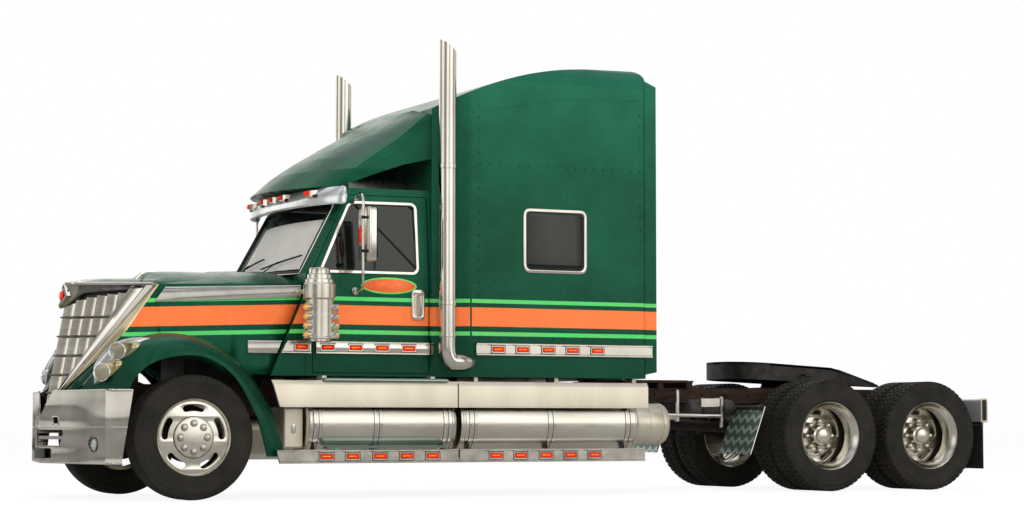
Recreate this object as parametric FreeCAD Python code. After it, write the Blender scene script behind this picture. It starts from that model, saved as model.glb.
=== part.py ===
"""Conventional truck tractor with a walk-in high-rise sleeper, as an assembly.

Millimetres. X forward, Y left, Z up. Distances along X are counted from the front
axle while modelling; the finished pieces are shifted so that the origin lies on the
ground under the middle of the whole vehicle.
"""
import FreeCAD, Part
import math
import os

V = FreeCAD.Vector
os.makedirs("parts", exist_ok=True)

# ---------------------------------------------------------------- driving dimensions
NOSE_X = 1000            # foremost point of the bumper, ahead of the front axle
TAIL_X = -8170           # rear face of the light bar
GAP = 6                  # running gap round moving panels
FIT = 0.3                # clearance of a seated or turning fit

# wheels
TYRE_R = 526
TYRE_W = 285
SEAT_R = 311             # bead seat, 24.5 inch rim
FLANGE_R = 324
RIM_HALF = 120           # half the rim's overall width
WHEELBASE = 6323
TANDEM = 1157
STEER_Y = 1008           # mid-plane of a front tyre
DUAL_Y = 1050            # mid-plane of an outer rear tyre
DUAL_PITCH = 330
DRUM_R = 208
KINGPIN_Y = 790
KINGPIN_R = 24
SPINDLE_R = 42
REAR_SPINDLE_R = 60
HUB_COVER_R = 170

# frame
FRAME_TOP = 980
RAIL_H = 270
RAIL_Y = 430             # outer face of a rail
RAIL_FLANGE = 90
RAIL_T = 10
FRAME_FRONT = 650
FRAME_REAR = -8050
DECK_TOP = 1050

# bumper
BUMPER_HALF = 1180
BUMPER_BEND_Y = 1120
BUMPER_BEND_X = 760
BUMPER_TOP = 920
BUMPER_SPLIT = 610
BUMPER_BOTTOM = 310
BUMPER_T = 10

# cab
FIREWALL_X = -1020
CAB_REAR = -2210
CAB_HALF = 1045          # at the belt line and below
CAB_ROOF_HALF = 975
CAB_FLOOR = 1050
BELT_Z = 1930
ROOF_Z = 2700
CAB_WALL = 55
GLASS_T = 8
GLASS_INSET = 14
DOOR_FRONT = -1085
DOOR_REAR = -2190
DOOR_BOTTOM = 1075
DOOR_TOP = 2640
SHUT_EXTRA = 1.8         # the latch edge swings on the longer radius, so its gap is wider
HINGE_X = DOOR_FRONT - GAP / 2
HINGE_SETBACK = 24       # how far the bright rail stops short of the hinge line
HINGE_LEVELS = (1440, 1815)
HINGE_PIN_R = 6
BARREL_R = 11
BARREL_HALF = 32         # half the length of the door's middle barrel
STEERING_CENTRE = (-1470, 480, 1759)
COLUMN_FOOT = (-1300, 480, 1600)
BOSS_DEPTH = 12

# sleeper
SLEEPER_REAR = -4310
SLEEPER_HALF = 1200
SLEEPER_FLARE_X = -2500  # where the flare from cab width ends
SLEEPER_WALL = 45
SLEEPER_TOP = 3890
SLEEPER_FRONT_TOP = 3430
EXTENDER_REAR = -4430

# hood
HOOD_REAR = -1010
# slanted line in side view where the hood meets the fixed cowl: x, z from the bottom up
SHUT_LINE = ((-700, 780), (-706, 1060), (-785, 1240), (-970, 1660), (HOOD_REAR, 1760),
             (HOOD_REAR, 2400))
HOOD_T = 9
TILT_X = 850             # hood hinge
TILT_Z = 905
HOOD_BOTTOM = 926
HOOD_REAR_BOTTOM = 1060
LEG_NARROW_Z = 640       # below this the fender's rear leg swings up outside the cowl rail

# grille prow: a vertical V whose two faces lean back, bounded by a raked line
TIP_X = 970
TIP_Z = 733
NOSE_TOP_Z = 1853
CORNER_X = 180
CORNER_Y = 650
CORNER_Z = 1830
PROW_LEAN = 0.1786       # rearward lean of the centre line for each unit of height

# stacks, tanks, skirts
STACK_X = -2290
STACK_Y = 1200
STACK_R = 77.5
STACK_TOP = 4020
TANK_R = 300
TANK_Y = 875
TANK_Z = 640
SKIRT_Y = 1180           # inner face of the side skirts
SKIRT_T = 25
RAIL_LOW = 1240          # mid-height bright rail
RAIL_HIGH = 1350
RAIL_PROUD = 35
COWL_SET_IN = 5          # how far the cowl's skin lies inside the cab's
CLEANER_X = -1050
CLEANER_Y = 1290
CLEANER_R = 122

# coupling
PIVOT_X = -6600
PIVOT_Z = 1100
PLATE_HALF = 470
PLATE_FRONT = (-5780, 1249)   # ends of the bearing face in side view, resting rear-down
PLATE_REAR = (-6810, 1193)
KINGPIN_SEAT_R = 25.8

ORIGIN_SHIFT = V(-(NOSE_X + TAIL_X) / 2, 0, 0)


# ---------------------------------------------------------------- helpers
def box(x0, x1, y0, y1, z0, z1):
    low = V(min(x0, x1), min(y0, y1), min(z0, z1))
    return Part.makeBox(abs(x1 - x0), abs(y1 - y0), abs(z1 - z0), low)


def rod(start, end, radius):
    """Cylinder between two points."""
    a, b = V(*start), V(*end)
    return Part.makeCylinder(radius, (b - a).Length, a, b - a)


def wire(points, place):
    """Closed outline. A point is (a, b); ("arc", (a, b), (a, b)) curves through its first
    point to its second. place turns (a, b) into a vector."""
    edges = []
    start = place(*points[0])
    first = start
    for item in list(points[1:]) + [points[0]]:
        if item[0] == "arc":
            middle, end = place(*item[1]), place(*item[2])
            edges.append(Part.Arc(start, middle, end).toShape())
        else:
            end = place(*item)
            if (end - start).Length < 1e-6:
                continue
            edges.append(Part.LineSegment(start, end).toShape())
        start = end
    if (start - first).Length > 1e-6:
        edges.append(Part.LineSegment(start, first).toShape())
    return Part.Wire(edges)


def side_prism(points, y0, y1):
    """Outline in X and Z, extruded across the vehicle."""
    face = Part.Face(wire(points, lambda x, z: V(x, y0, z)))
    return face.extrude(V(0, y1 - y0, 0))


def plan_prism(points, z0, z1):
    """Outline in X and Y, extruded upwards."""
    face = Part.Face(wire(points, lambda x, y: V(x, y, z0)))
    return face.extrude(V(0, 0, z1 - z0))


def front_prism(points, x0, x1):
    """Outline in Y and Z, extruded along the vehicle."""
    face = Part.Face(wire(points, lambda y, z: V(x0, y, z)))
    return face.extrude(V(x1 - x0, 0, 0))


def spun(points, centre):
    """Outline of (radius, distance outboard) turned about a lateral axis."""
    cx, cy, cz = centre
    face = Part.Face(wire(points, lambda r, u: V(cx, cy + u, cz + r)))
    return face.revolve(V(cx, cy, cz), V(0, 1, 0), 360)


def fuse(shapes):
    shapes = list(shapes)
    whole = shapes[0].multiFuse(shapes[1:]) if len(shapes) > 1 else shapes[0]
    return whole.removeSplitter()


def cut(shape, *tools):
    for tool in tools:
        shape = shape.cut(tool)
    return shape


def mirrored(shape):
    return shape.mirror(V(0, 0, 0), V(0, 1, 0))


def pair(shape):
    return [shape, mirrored(shape)]


def save(name, *shapes):
    """Write one node. Its solids are those of all the shapes given."""
    solids = []
    for shape in shapes:
        solids.extend(shape.Solids)
    solids = [solid.copy() for solid in solids]
    for solid in solids:
        solid.translate(ORIGIN_SHIFT)
    whole = solids[0] if len(solids) == 1 else Part.makeCompound(solids)
    whole.exportStep("parts/" + name + ".step")
    print(name, len(solids), "solids", round(whole.Volume / 1e9, 4), "m3",
          "" if whole.isValid() else "NOT VALID")


# ---------------------------------------------------------------- wheels
def tyre_profile():
    half = TYRE_W / 2
    bead = RIM_HALF - 14
    tread = half - 26
    return [
        (SEAT_R + FIT, -bead), (FLANGE_R + 3, -bead - 5), ("arc", (415, -half), (TYRE_R - 38, -half + 9)),
        ("arc", (TYRE_R - 12, -half + 14), (TYRE_R, -tread)), (TYRE_R, tread),
        ("arc", (TYRE_R - 12, half - 14), (TYRE_R - 38, half - 9)),
        ("arc", (415, half), (FLANGE_R + 3, bead + 5)), (SEAT_R + FIT, bead),
    ]


def kidney_slots(centre, depth_from, depth_to):
    """Five hand holes through a wheel disc, as bent slots."""
    inner, outer, half_angle = 212, 276, 20
    slots = []
    for index in range(5):
        middle = math.radians(90 + 72 * index)
        half = math.radians(half_angle)

        def at(radius, angle):
            return (centre[0] + radius * math.cos(angle), centre[2] + radius * math.sin(angle))
        outline = [
            at(inner, middle - half), ("arc", at(inner, middle), at(inner, middle + half)),
            ("arc", at((inner + outer) / 2, middle + half * 1.45), at(outer, middle + half)),
            ("arc", at(outer, middle), at(outer, middle - half)),
            ("arc", at((inner + outer) / 2, middle - half * 1.45),
             at(inner, middle - half)),
        ]
        slots.append(side_prism(outline, centre[1] + depth_from, centre[1] + depth_to))
    return slots


RIM_BARREL = [
    (SEAT_R, -RIM_HALF + 12), (FLANGE_R, -RIM_HALF + 8), (FLANGE_R, -RIM_HALF),
    (SEAT_R - 14, -RIM_HALF), (SEAT_R - 14, RIM_HALF), (FLANGE_R, RIM_HALF),
    (FLANGE_R, RIM_HALF - 8), (SEAT_R, RIM_HALF - 12),
]


def front_rim(x):
    """Steer wheel with its convex disc, hub and brake drum; outboard is +Y."""
    centre = (x, STEER_Y, TYRE_R)
    barrel = spun(RIM_BARREL, centre)
    disc = spun([(SEAT_R - 10, 68), (200, 98), (0, 98), (0, 112), (204, 112),
                 (SEAT_R - 10, 84)], centre)
    cover = spun([(0, 108), (HUB_COVER_R, 108), (HUB_COVER_R, 122),
                  (120, 137), (60, 147), (0, 150)], centre)
    drum = spun([(0, 100), (DRUM_R, 100), (DRUM_R, -88), (DRUM_R - 16, -88),
                 (DRUM_R - 16, 40), (95, 40), (95, -40), (SPINDLE_R + FIT, -40),
                 (SPINDLE_R + FIT, 60), (0, 60)], centre)
    return fuse([cut(barrel.fuse(disc), *kidney_slots(centre, 50, 130)), cover, drum])


def dual_rims(x):
    """Two rear wheels bolted disc to disc, with hub, cap and drum; outboard is +Y."""
    outer = (x, DUAL_Y, TYRE_R)
    inner = (x, DUAL_Y - DUAL_PITCH, TYRE_R)
    face = -DUAL_PITCH / 2
    barrels = [spun(RIM_BARREL, outer), spun(RIM_BARREL, inner)]
    near = spun([(SEAT_R - 8, -92), (230, face + 14), (90, face + 14), (90, face),
                 (236, face), (SEAT_R - 8, -108)], outer)
    far = spun([(SEAT_R - 8, 92), (230, -face - 14), (90, -face - 14), (90, -face),
                (236, -face), (SEAT_R - 8, 108)], inner)
    discs = cut(near.fuse(far), *kidney_slots(outer, face - 60, face + 60))
    hub = spun([(0, 32), ("arc", (60, 24), (82, 0)), (82, -60), (105, -70), (105, -150),
                (DRUM_R, face), (DRUM_R, face - 230), (DRUM_R - 16, face - 230),
                (DRUM_R - 16, face - 40), (100, face - 40), (100, face - 60),
                (REAR_SPINDLE_R + FIT, face - 60), (REAR_SPINDLE_R + FIT, -30), (0, -30)],
               outer)
    return fuse(barrels + [discs, hub])


def wheels():
    for side, flip in (("left", False), ("right", True)):
        for name, x, lateral, rims in (
                ("front", 0, [STEER_Y], front_rim),
                ("drive_1", -WHEELBASE, [DUAL_Y, DUAL_Y - DUAL_PITCH], dual_rims),
                ("drive_2", -WHEELBASE - TANDEM, [DUAL_Y, DUAL_Y - DUAL_PITCH], dual_rims)):
            tyres = [spun(tyre_profile(), (x, y, TYRE_R)) for y in lateral]
            metal = rims(x)
            if flip:
                tyres = [mirrored(shape) for shape in tyres]
                metal = mirrored(metal)
            save("tyre_" + name + "_" + side, *tyres)
            save("rim_" + name + "_" + side, metal)


# ---------------------------------------------------------------- frame and axles
def frame():
    def rail(y_outer):
        inner = y_outer - RAIL_FLANGE
        body = box(FRAME_REAR, FRAME_FRONT, inner, y_outer, FRAME_TOP - RAIL_H, FRAME_TOP)
        hollow = box(FRAME_REAR, FRAME_FRONT, inner, y_outer - RAIL_T,
                     FRAME_TOP - RAIL_H + RAIL_T, FRAME_TOP - RAIL_T)
        return body.cut(hollow)
    web = RAIL_Y - RAIL_T
    rails = pair(rail(RAIL_Y))
    members = [box(x - 40, x + 40, -web, web, FRAME_TOP - 130, FRAME_TOP - 20)
               for x in (560, -2350, -3350, -4450, -5300, -6000, -6900, -7800)]
    end = box(FRAME_REAR, FRAME_REAR + 40, -web, web, FRAME_TOP - 240, FRAME_TOP - 20)
    deck = box(-5200, -4450, -520, 520, DECK_TOP - 20, DECK_TOP)
    bearers = [box(x - 30, x + 30, -500, 500, FRAME_TOP, DECK_TOP - 20)
               for x in (-4500, -4850, -5170)]
    cab_mounts = []
    for x in (-1150, -2100, -2700, -4150):
        cab_mounts += pair(box(x - 45, x + 45, RAIL_Y - RAIL_FLANGE, RAIL_Y, FRAME_TOP, CAB_FLOOR))
    save("frame", fuse(rails + members + [end, deck] + bearers + cab_mounts))


def leaf_spring(y0, y1, seat_z, half_length, eye_z, thick):
    """Pack of leaves hung from the rails: an arc low in the middle."""
    outline = [(-half_length, eye_z), ("arc", (0, seat_z), (half_length, eye_z)),
               (half_length, eye_z + thick / 2),
               ("arc", (0, seat_z + thick), (-half_length, eye_z + thick / 2))]
    return side_prism(outline, y0, y1)


def front_axle():
    seat = 496
    beam = front_prism([(-KINGPIN_Y, 476), (-620, 476), (-540, 400), (540, 400), (620, 476),
                        (KINGPIN_Y, 476), (KINGPIN_Y, 576), (650, 576), (520, seat),
                        (-520, seat), (-650, 576), (-KINGPIN_Y, 576)], -50, 50)
    bosses = pair(rod((0, KINGPIN_Y, 476), (0, KINGPIN_Y, 576), 52))
    bores = pair(rod((0, KINGPIN_Y, 460), (0, KINGPIN_Y, 590), KINGPIN_R + FIT))
    springs = pair(leaf_spring(345, 425, seat, 605, 640, 60))
    hangers = []
    for x in (605, -605):
        block = box(x - 35, x + 35, 345, 425, 630, FRAME_TOP - RAIL_H)
        hangers += pair(block)
    save("front_axle", cut(fuse([beam] + bosses + springs + hangers), *bores))


def drive_axles():
    pieces = []
    underside = FRAME_TOP - RAIL_H
    for x in (-WHEELBASE, -WHEELBASE - TANDEM):
        tube = rod((x, -615, TYRE_R), (x, 615, TYRE_R), 80)
        spindle = rod((x, -DUAL_Y + 40, TYRE_R), (x, DUAL_Y - 40, TYRE_R), REAR_SPINDLE_R)
        banjo = Part.makeSphere(205, V(x, 0, TYRE_R))
        nose = rod((x, 0, TYRE_R + 40), (x + 330, 0, TYRE_R + 70), 95)
        pieces += [tube, spindle, banjo, nose]
        for y in (390, -390):
            arm = side_prism([(x + 520, 560), (x + 420, 530), (x + 90, 432), (x - 400, 432),
                              (x - 400, 472), (x + 110, 480), (x + 430, 590),
                              (x + 520, 600)], y - 40, y + 40)
            spring = rod((x - 300, y, 470), (x - 300, y, underside), 120)
            hanger = box(x + 430, x + 530, y - 40, y + 40, 540, underside)
            pieces += [arm, spring, hanger]
    first = -WHEELBASE
    pieces.append(rod((first - 100, 0, 640), (first - TANDEM + 330, 0, 600), 42))
    middle = (-4200, 0, 700)
    pieces.append(rod((first + 300, 0, TYRE_R + 68), middle, 50))
    pieces.append(rod(middle, (-2153, 0, 790), 50))
    pieces.append(rod((-4170, 0, 702), (-4230, 0, 700), 78))
    pieces.append(box(-4480, -4180, -60, 60, 690, 720))
    pieces.append(box(-4480, -4440, -60, 60, 690, FRAME_TOP - 130))
    save("drive_axles", fuse(pieces))


def knuckle():
    """Left steering knuckle: kingpin, yoke, spindle, backing plate and steering arm."""
    y = KINGPIN_Y
    pin = rod((0, y, 425), (0, y, 627), KINGPIN_R)
    ears = [rod((0, y, 425), (0, y, 470), 45), rod((0, y, 582), (0, y, 627), 45)]
    back = box(-42, 42, y + 60, y + 100, 425, 627)
    bridges = [box(-42, 42, y, y + 70, 425, 470), box(-42, 42, y, y + 70, 582, 627)]
    spindle = rod((0, y + 90, TYRE_R), (0, STEER_Y + 58, TYRE_R), SPINDLE_R)
    plate = rod((0, STEER_Y - 112, TYRE_R), (0, STEER_Y - 96, TYRE_R), DRUM_R)
    arm = box(-190, 0, y - 25, y + 25, 425, 455)
    eye = rod((-190, y, 425), (-190, y, 455), 32)
    stud = rod((-190, y, 372), (-190, y, 430), 13)
    return fuse([pin] + ears + [back] + bridges + [spindle, plate, arm, eye, stud])


def tie_rod():
    y = KINGPIN_Y
    eyes = pair(rod((-190, y, 378), (-190, y, 418), 30))
    bar = rod((-190, -y, 398), (-190, y, 398), 17)
    bores = pair(rod((-190, y, 360), (-190, y, 430), 13 + FIT))
    return cut(fuse([bar] + eyes), *bores)


def engine():
    block = box(-1000, -180, -320, 320, 760, 1560)
    low = box(-1500, -1000, -300, 300, 760, 1030)
    gearbox = box(-2150, -1500, -190, 190, 720, 1000)
    feet = []
    for x in (-300, -900):
        feet += pair(box(x - 40, x + 40, 315, 400, FRAME_TOP, FRAME_TOP + 50))
    rear_feet = pair(box(-1480, -1420, 295, 335, 900, 1030)) + \
        pair(box(-1480, -1420, 295, 400, FRAME_TOP, FRAME_TOP + 50))
    radiator = box(250, 340, -380, 380, FRAME_TOP, 1640)
    save("engine", fuse([block, low, gearbox] + feet + rear_feet), radiator)


# ---------------------------------------------------------------- bumper
def bumper_outline(inset, return_x):
    slope = (NOSE_X - BUMPER_BEND_X) / BUMPER_BEND_Y
    face = inset * math.sqrt(1 + slope * slope)
    side = BUMPER_HALF - inset
    bend_y = BUMPER_BEND_Y - inset * 0.9
    bend_x = NOSE_X - face - slope * bend_y
    return [(NOSE_X - face, 0), (bend_x, bend_y), (return_x, side)]


def bumper_shell(z0, z1):
    outer = bumper_outline(0, 520)
    inner = bumper_outline(BUMPER_T, 500)
    ring = outer + inner[::-1]
    half = plan_prism(ring, z0, z1)
    trim = side_prism([(400, 200), (628, 200), (628, 320), (540, 930), (400, 930)],
                      1000, 1300)
    return fuse(pair(half.cut(trim)))


def bumper():
    notch = front_prism([(0, 700), (225, BUMPER_TOP + 5), (-225, BUMPER_TOP + 5)], 800, 1100)
    tow_holes = pair(box(800, 1100, 235, 325, 635, 700))
    upper = cut(bumper_shell(BUMPER_SPLIT + 3, BUMPER_TOP), notch, *tow_holes)
    opening = front_prism([(-430, 588), (430, 588), (350, 455), (-350, 455)], 700, 1100)
    lamp_holes = pair(rod((700, 900, 480), (900, 900, 480), 58))
    lower = cut(bumper_shell(BUMPER_BOTTOM, BUMPER_SPLIT - 3), opening, *lamp_holes)
    bar_outline = bumper_outline(BUMPER_T - 2, 0)[:2] + bumper_outline(34, 0)[:2][::-1]
    bar = fuse(pair(plan_prism(bar_outline, 508, 536).common(box(500, 1100, 0, 520, 400, 700))))
    lamps = pair(rod((735, 900, 480), (792, 900, 480), 58))
    carriers = []
    for z0, z1 in ((640, 700), (560, 600)):
        carrier = box(FRAME_FRONT, 950, 380, 440, z0, z1)
        carriers += pair(carrier)
    plates = pair(box(FRAME_FRONT, 690, 380, 440, 560, 900))
    inside = fuse(pair(plan_prism([(600, 0)] + bumper_outline(BUMPER_T - 1, 500), 200, 1000)))
    arms = [piece.common(inside) for piece in carriers]
    hinge_arms = pair(side_prism([(690, 840), (690, 895), (840, 921), (870, 921),
                                  (870, 890), (800, 840)], 400, 430).common(inside))
    pins = pair(rod((TILT_X, 330, TILT_Z), (TILT_X, 425, TILT_Z), 11))
    lamp_arms = pair(box(700, 760, 880, 920, 430, 530).common(inside))
    save("bumper", fuse([upper, lower, bar] + lamps + arms + plates + hinge_arms + pins
                        + lamp_arms))


# ---------------------------------------------------------------- cab
def loft(sections):
    """Ruled solid through closed wires."""
    return Part.makeLoft(sections, True, True)


def cab_section(z, front_middle, front_end, half_front, half_rear, rear):
    points = [(front_end, -half_front), ("arc", (front_middle, 0), (front_end, half_front)),
              (rear, half_rear), (rear, -half_rear)]
    return wire(points, lambda x, y: V(x, y, z))


def cab_solid(inset, rear_inset):
    """Cab as a solid, its faces moved inwards by inset and its rear by rear_inset."""
    low = box(CAB_REAR, FIREWALL_X - inset, -CAB_HALF + inset, CAB_HALF - inset,
              CAB_FLOOR + inset, BELT_Z + 1)
    sections = [
        cab_section(BELT_Z, -880 - inset, FIREWALL_X - 45 - inset, 990 - inset,
                    CAB_HALF - inset, CAB_REAR),
        cab_section(ROOF_Z - inset, -1320 - inset, -1470 - inset, 905 - inset,
                    CAB_ROOF_HALF - inset, CAB_REAR)]
    whole = low.fuse(loft(sections)).removeSplitter()
    if rear_inset == 0:
        return whole
    return whole.cut(box(CAB_REAR - 100, CAB_REAR + rear_inset, -1200, 1200, 900, 3000))


def windshield_window(margin):
    return front_prism([(-845 + margin, 1965 + margin), (845 - margin, 1965 + margin),
                        (800 - margin, 2560 - margin), (-800 + margin, 2560 - margin)],
                       -1700, -700)


def door_outline(margin):
    """Outline of the door in side view, shrunk by margin."""
    m = margin
    return [(DOOR_FRONT - m, DOOR_BOTTOM + m), (DOOR_FRONT - m, 1925),
            (-1445 - m, DOOR_TOP - m), (DOOR_REAR + m * SHUT_EXTRA, DOOR_TOP - m),
            (DOOR_REAR + m * SHUT_EXTRA, DOOR_BOTTOM + m)]


def door_window(margin):
    m = margin
    return [(-1190 - m, 1965 + m), (-1478 - m * 0.6, 2560 - m), (-2065 + m, 2560 - m),
            (-2065 + m, 1965 + m)]


def cab_and_doors():
    outer = cab_solid(0, 0)
    wall = outer.cut(cab_solid(CAB_WALL, CAB_WALL))
    passage = box(CAB_REAR - 10, CAB_REAR + CAB_WALL + 10, -760, 760, 1130, 2560)
    left_doorway = side_prism(door_outline(0), 600, 1300)

    def side_wall(thickness):
        floor = box(CAB_REAR, FIREWALL_X, 0, CAB_HALF - thickness, CAB_FLOOR, BELT_Z)
        return outer.cut(cab_solid(thickness, 0)).cut(floor)
    doorways = pair(side_wall(CAB_WALL + GAP).common(left_doorway))
    shell = cut(wall, passage, windshield_window(0), *doorways)
    shell = fuse([shell] + pair(cowl_side().cut(left_doorway)))
    own, others, pins, pin_holes, fixed, swinging = hinge_parts()
    shell = fuse([cut(shell, *(pair(others)))] + pair(fuse([pins, fixed])))
    glass_layer = cab_solid(GLASS_INSET, 0).cut(cab_solid(GLASS_INSET + GLASS_T, 0))
    windshield = glass_layer.common(windshield_window(FIT))
    left_side = box(-3000, -900, 700, 1300, 900, 3000)
    door = side_wall(CAB_WALL).common(side_prism(door_outline(GAP), 700, 1300))
    door = door.cut(side_prism(door_window(0), 600, 1300))
    door = fuse([door.cut(own), swinging]).cut(pin_holes)
    pane = glass_layer.common(side_prism(door_window(FIT), 700, 1300)).common(left_side)
    save("cab_shell", shell)
    for side, flip in (("left", False), ("right", True)):
        place = mirrored if flip else (lambda shape: shape)
        save("door_" + side, place(door))
        save("door_glass_" + side, place(pane))
        save("door_fittings_" + side, place(door_fittings()))
    return windshield


def hinge_parts():
    """Left door's hinges. Gives the room that the fixed knuckles need in the door, the room
    that the door's barrels need in the cab, the pins, their holes, the fixed knuckles and
    the barrels."""
    y = CAB_HALF
    room_door, room_cab, pins, holes, fixed, swinging = [], [], [], [], [], []
    for z in HINGE_LEVELS:
        low, high = z - BARREL_HALF, z + BARREL_HALF

        def column(z0, z1, radius):
            return rod((HINGE_X, y, z0), (HINGE_X, y, z1), radius)
        pins.append(column(low - 24, high + 24, HINGE_PIN_R))
        for z0, z1 in ((low - 24, low - 1), (high + 1, high + 24)):
            leaf = box(HINGE_X, DOOR_FRONT + 20, y - BARREL_R, y, z0, z1)
            fixed.append(column(z0, z1, BARREL_R).fuse(leaf))
            room_door.append(column(z0 - 1, z1 + 1, BARREL_R + 3))
        leaf = box(DOOR_FRONT - 30, HINGE_X, y - BARREL_R, y, low, high)
        swinging.append(column(low, high, BARREL_R).fuse(leaf))
        holes.append(column(low - 30, high + 30, HINGE_PIN_R + FIT))
        room_cab.append(column(low - 1, high + 1, BARREL_R + 3))
    return [Part.makeCompound(group)
            for group in (room_door, room_cab, pins, holes, fixed, swinging)]


def tube_path(points, radius):
    """Straight tubes with a ball at each corner."""
    pieces = [rod(points[i], points[i + 1], radius) for i in range(len(points) - 1)]
    pieces += [Part.makeSphere(radius, V(*point)) for point in points[1:-1]]
    return fuse(pieces)


def door_fittings():
    """Mirror on its tube, pull handle, and the door's length of bright rail."""
    skin = CAB_HALF
    mount = rod((-1440, skin, 1790), (-1440, skin + 45, 1790), 34)
    lower = tube_path([(-1440, skin + 30, 1790), (-1440, 1230, 1790), (-1440, 1290, 1850),
                       (-1440, 1290, 2060)], 12)
    top_skin = CAB_HALF - (2590 - BELT_Z) / (ROOF_Z - BELT_Z) * (CAB_HALF - CAB_ROOF_HALF)
    upper = tube_path([(-1530, top_skin, 2590), (-1470, 1180, 2600), (-1440, 1290, 2560),
                       (-1440, 1290, 2460)], 12)
    head = box(-1530, -1385, 1170, 1410, 2030, 2500)
    head = head.makeFillet(22, head.Edges)
    rail = box(DOOR_REAR + GAP * SHUT_EXTRA, DOOR_FRONT - HINGE_SETBACK, skin, skin + RAIL_PROUD,
               RAIL_LOW, RAIL_HIGH)
    lamps = [box(x - 48, x + 48, skin + RAIL_PROUD, skin + RAIL_PROUD + 12, 1268, 1324)
             for x in (-1215, -1476, -1725, -1977)]
    handle = [box(-2138, -2012, skin, skin + 10, 1545, 1815),
              box(-2120, -2085, skin, skin + 48, 1580, 1610),
              box(-2120, -2085, skin, skin + 48, 1750, 1780),
              box(-2120, -2085, skin + 30, skin + 52, 1580, 1780)]
    return fuse([mount, lower, upper, head, rail] + lamps + handle)


def cab_interior():
    floor = CAB_FLOOR + CAB_WALL
    dash = side_prism([(FIREWALL_X - CAB_WALL, 1500), (-1330, 1500), (-1360, 1780),
                       (-1260, 1890), (FIREWALL_X - CAB_WALL, 1880)], -940, 940)
    seats = []
    for y in (480, -480):
        base = box(-1980, -1640, y - 170, y + 170, floor, 1420)
        cushion = box(-2060, -1560, y - 250, y + 250, 1420, 1560)
        back = side_prism([(-1940, 1560), (-2040, 1560), (-2145, 2300), (-2060, 2300)],
                          y - 240, y + 240)
        seats.append(fuse([base, cushion, back]))
    centre, axis = steering_line()
    column = rod(COLUMN_FOOT, tuple(centre - axis * (BOSS_DEPTH + FIT)), 28)
    bunk = box(SLEEPER_REAR + SLEEPER_WALL, -3400, -1110, 1110, 1095, 1650)
    save("cab_interior", fuse([dash, column]), *(seats + [bunk]))


def steering_line():
    """Middle of the steering wheel and the direction of its column."""
    centre = V(*STEERING_CENTRE)
    axis = centre - V(*COLUMN_FOOT)
    axis.normalize()
    return centre, axis


def steering_wheel():
    """Rim, three spokes and boss on a column that leans back."""
    centre, axis = steering_line()
    ring = Part.makeTorus(215, 16, centre, axis)
    boss = Part.makeCylinder(50, BOSS_DEPTH + 30, centre - axis * BOSS_DEPTH, axis)
    side = V(0, 1, 0)
    up = axis.cross(side)
    spokes = []
    for degrees in (90, 210, 330):
        turn = math.radians(degrees)
        end = centre + (side * math.cos(turn) + up * math.sin(turn)) * 212
        spokes.append(rod(tuple(centre), tuple(end), 11))
    save("steering_wheel", fuse([ring, boss] + spokes))


# ---------------------------------------------------------------- sleeper
def sleeper_side(inset):
    i = inset
    return [(CAB_REAR - i, CAB_FLOOR + i), (CAB_REAR - i, SLEEPER_FRONT_TOP - i),
            ("arc", (-2950, 3735 - i), (-3750, 3875 - i)), (SLEEPER_REAR + 70, SLEEPER_TOP - i),
            ("arc", (SLEEPER_REAR + 22 + i, SLEEPER_TOP - 24 - i),
             (SLEEPER_REAR + i, SLEEPER_TOP - 75)), (SLEEPER_REAR + i, CAB_FLOOR + i)]


def sleeper_plan(inset):
    i = inset
    front = CAB_REAR - i
    half = []
    for sign in (1, -1):
        row = [(front, sign * (1040 - i)), (SLEEPER_FLARE_X, sign * (SLEEPER_HALF - i)),
               (SLEEPER_REAR + 40 + i, sign * (SLEEPER_HALF - i)),
               (SLEEPER_REAR + i, sign * (SLEEPER_HALF - 40 - i))]
        half.append(row)
    return half[0] + half[1][::-1]


def sleeper_front_view(inset):
    """Upright sides that round over into the roof."""
    i = inset
    w, top = SLEEPER_HALF - i, SLEEPER_TOP + 40 - i
    return [(-w, 1000 + i), (-w, top - 330), ("arc", (-w + 62, top - 110), (-w + 260, top - 22)),
            ("arc", (0, top + 12), (w - 260, top - 22)), ("arc", (w - 62, top - 110), (w, top - 330)),
            (w, 1000 + i)]


def sleeper_solid(inset):
    solid = side_prism(sleeper_side(inset), -1300, 1300)
    solid = solid.common(plan_prism(sleeper_plan(inset), 900, 4200))
    return solid.common(front_prism(sleeper_front_view(inset), -4500, -2000))


def sleeper_window(margin):
    m = margin
    return [(-3055 - m, 2005 + m), (-3055 - m, 2540 - m), (-3655 + m, 2540 - m),
            (-3655 + m, 2005 + m)]


def sleeper(windshield):
    outer = sleeper_solid(0)
    passage = box(CAB_REAR + 10, CAB_REAR - SLEEPER_WALL - 30, -760, 760, 1130, 2560)
    windows = side_prism(sleeper_window(0), -1300, 1300)
    shell = cut(outer, sleeper_solid(SLEEPER_WALL), passage, windows)
    panes = []
    for y0 in (SLEEPER_HALF - GLASS_INSET - GLASS_T, -SLEEPER_HALF + GLASS_INSET):
        panes.append(side_prism(sleeper_window(FIT), y0, y0 + GLASS_T))
    save("fixed_glass", windshield, *panes)
    extender = side_prism([(SLEEPER_REAR, 1087), (SLEEPER_REAR, 3790), (EXTENDER_REAR, 3740),
                           (EXTENDER_REAR, 1110)], SLEEPER_HALF - 75, SLEEPER_HALF - 45)
    save("sleeper_shell", fuse([shell] + pair(extender)))


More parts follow.
